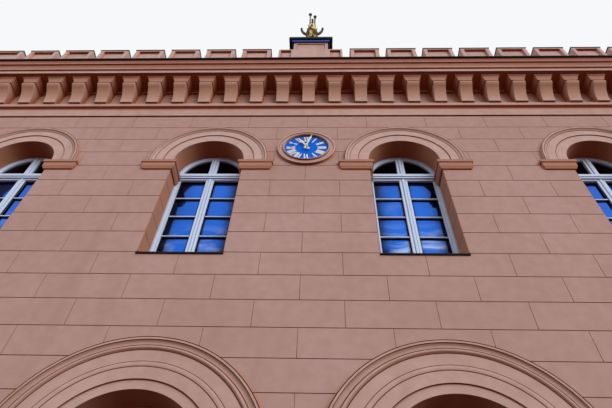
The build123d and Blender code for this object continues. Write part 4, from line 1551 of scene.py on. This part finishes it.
for name in nodes:
    if "wall_" in name or name in ("ground_piers", "upper_piers", "ground_aprons"):
        keepNode(name, jointRender)
    elif "parapet" in name:
        keepNode(name, parapetRender)
    elif "floor" in name:
        keepNode(name, floorScreed)
    elif "glass" in name:
        keepNode(name, paneGlass)
keepNode("plinth", plinthStone)
keepNode("window_sills", darkSheet)
keepNode("cornice_flashing", darkSheet)
keepNode("roof", zincSheet)
keepNode("clock_dial", dialEnamel)
keepNode("clock_arbor", goldLeaf)


# Floor, light and camera

studio = {
    "floorSize": 220,
    "floorShade": (0.13, 0.055, 0.03),    # light thrown up from the ground
    "floorSeen": (0.80, 0.80, 0.79),
    "sky": (0.76, 0.83, 0.92),
    "skySeen": (0.93, 0.94, 0.95),
    # rotation, strength, angle, colour
    "keyLight": ((76, 0, 34), 1.75, 40, (1.0, 0.97, 0.94)),
    "fillLight": ((58, 0, 155), 0.5, 60, (0.92, 0.95, 1.0)),
    # fitted to the photograph's ruled joints
    "yaw": -2.892,
    "pitch": 51.089,
    "roll": 2.418,
    "focal": 506.4,       # in pixels of a picture 612 wide
    "width": 612,
    "eye": (0.300, -halfDepth - 5.223, 1.762),
}


def seenDirectly(tree):
    # 1 for the rays that show the background itself
    path = tree.nodes.new("ShaderNodeLightPath").outputs
    seen = combine("MAXIMUM", path["Is Camera Ray"], path["Is Glossy Ray"])
    return combine("MAXIMUM", seen, path["Is Transmission Ray"])


def makeFloor():
    size = studio["floorSize"]
    shape = bmesh.new()
    corners = [(-size, -size, 0), (size, -size, 0), (size, size, 0), (-size, size, 0)]
    shape.faces.new([shape.verts.new(corner) for corner in corners])
    floor = placeMesh("floor", shape)
    material = bpy.data.materials.new("paleFloor")
    material.use_nodes = True
    tree = material.node_tree
    tree.nodes.clear()
    colour = blendColour(seenDirectly(tree), studio["floorShade"], studio["floorSeen"])
    shader = addNode("ShaderNodeBsdfDiffuse", {"Color": colour})
    addNode("ShaderNodeOutputMaterial", {"Surface": shader.outputs[0]})
    floor.data.materials.append(material)


def makeWorld():
    world = bpy.data.worlds.new("studio")
    bpy.context.scene.world = world
    world.use_nodes = True
    tree = world.node_tree
    shader = tree.nodes["Background"]
    tree.links.new(blendColour(seenDirectly(tree), studio["sky"], studio["skySeen"]), shader.inputs["Color"])
    shader.inputs["Strength"].default_value = 1.0


def makeSun(name):
    rotation, strength, angle, colour = studio[name]
    data = bpy.data.lights.new(name, "SUN")
    data.energy = strength
    data.angle = math.radians(angle)
    data.color = colour
    lamp = bpy.data.objects.new(name, data)
    lamp.rotation_euler = [math.radians(a) for a in rotation]
    lamp.visible_glossy = False
    bpy.context.scene.collection.objects.link(lamp)


def makeCamera():
    yaw, pitch, roll = (math.radians(studio[name]) for name in ("yaw", "pitch", "roll"))
    ahead = Vector((math.sin(yaw) * math.cos(pitch), math.cos(yaw) * math.cos(pitch), math.sin(pitch)))
    level = Vector((math.cos(yaw), -math.sin(yaw), 0))
    upright = level.cross(ahead)
    right = level * math.cos(roll) + upright * math.sin(roll)
    up = upright * math.cos(roll) - level * math.sin(roll)
    data = bpy.data.cameras.new("camera")
    data.sensor_width = 36
    data.lens = data.sensor_width * studio["focal"] / studio["width"]
    data.clip_end = 400
    camera = bpy.data.objects.new("camera", data)
    turn = Matrix((right, up, -ahead)).transposed().to_4x4()
    camera.matrix_world = Matrix.Translation(studio["eye"]) @ turn
    bpy.context.scene.collection.objects.link(camera)
    bpy.context.scene.camera = camera


makeFloor()
makeWorld()
makeSun("keyLight")
makeSun("fillLight")
makeCamera()
scene = bpy.context.scene
scene.view_settings.view_transform = "Standard"
print("scene ready")
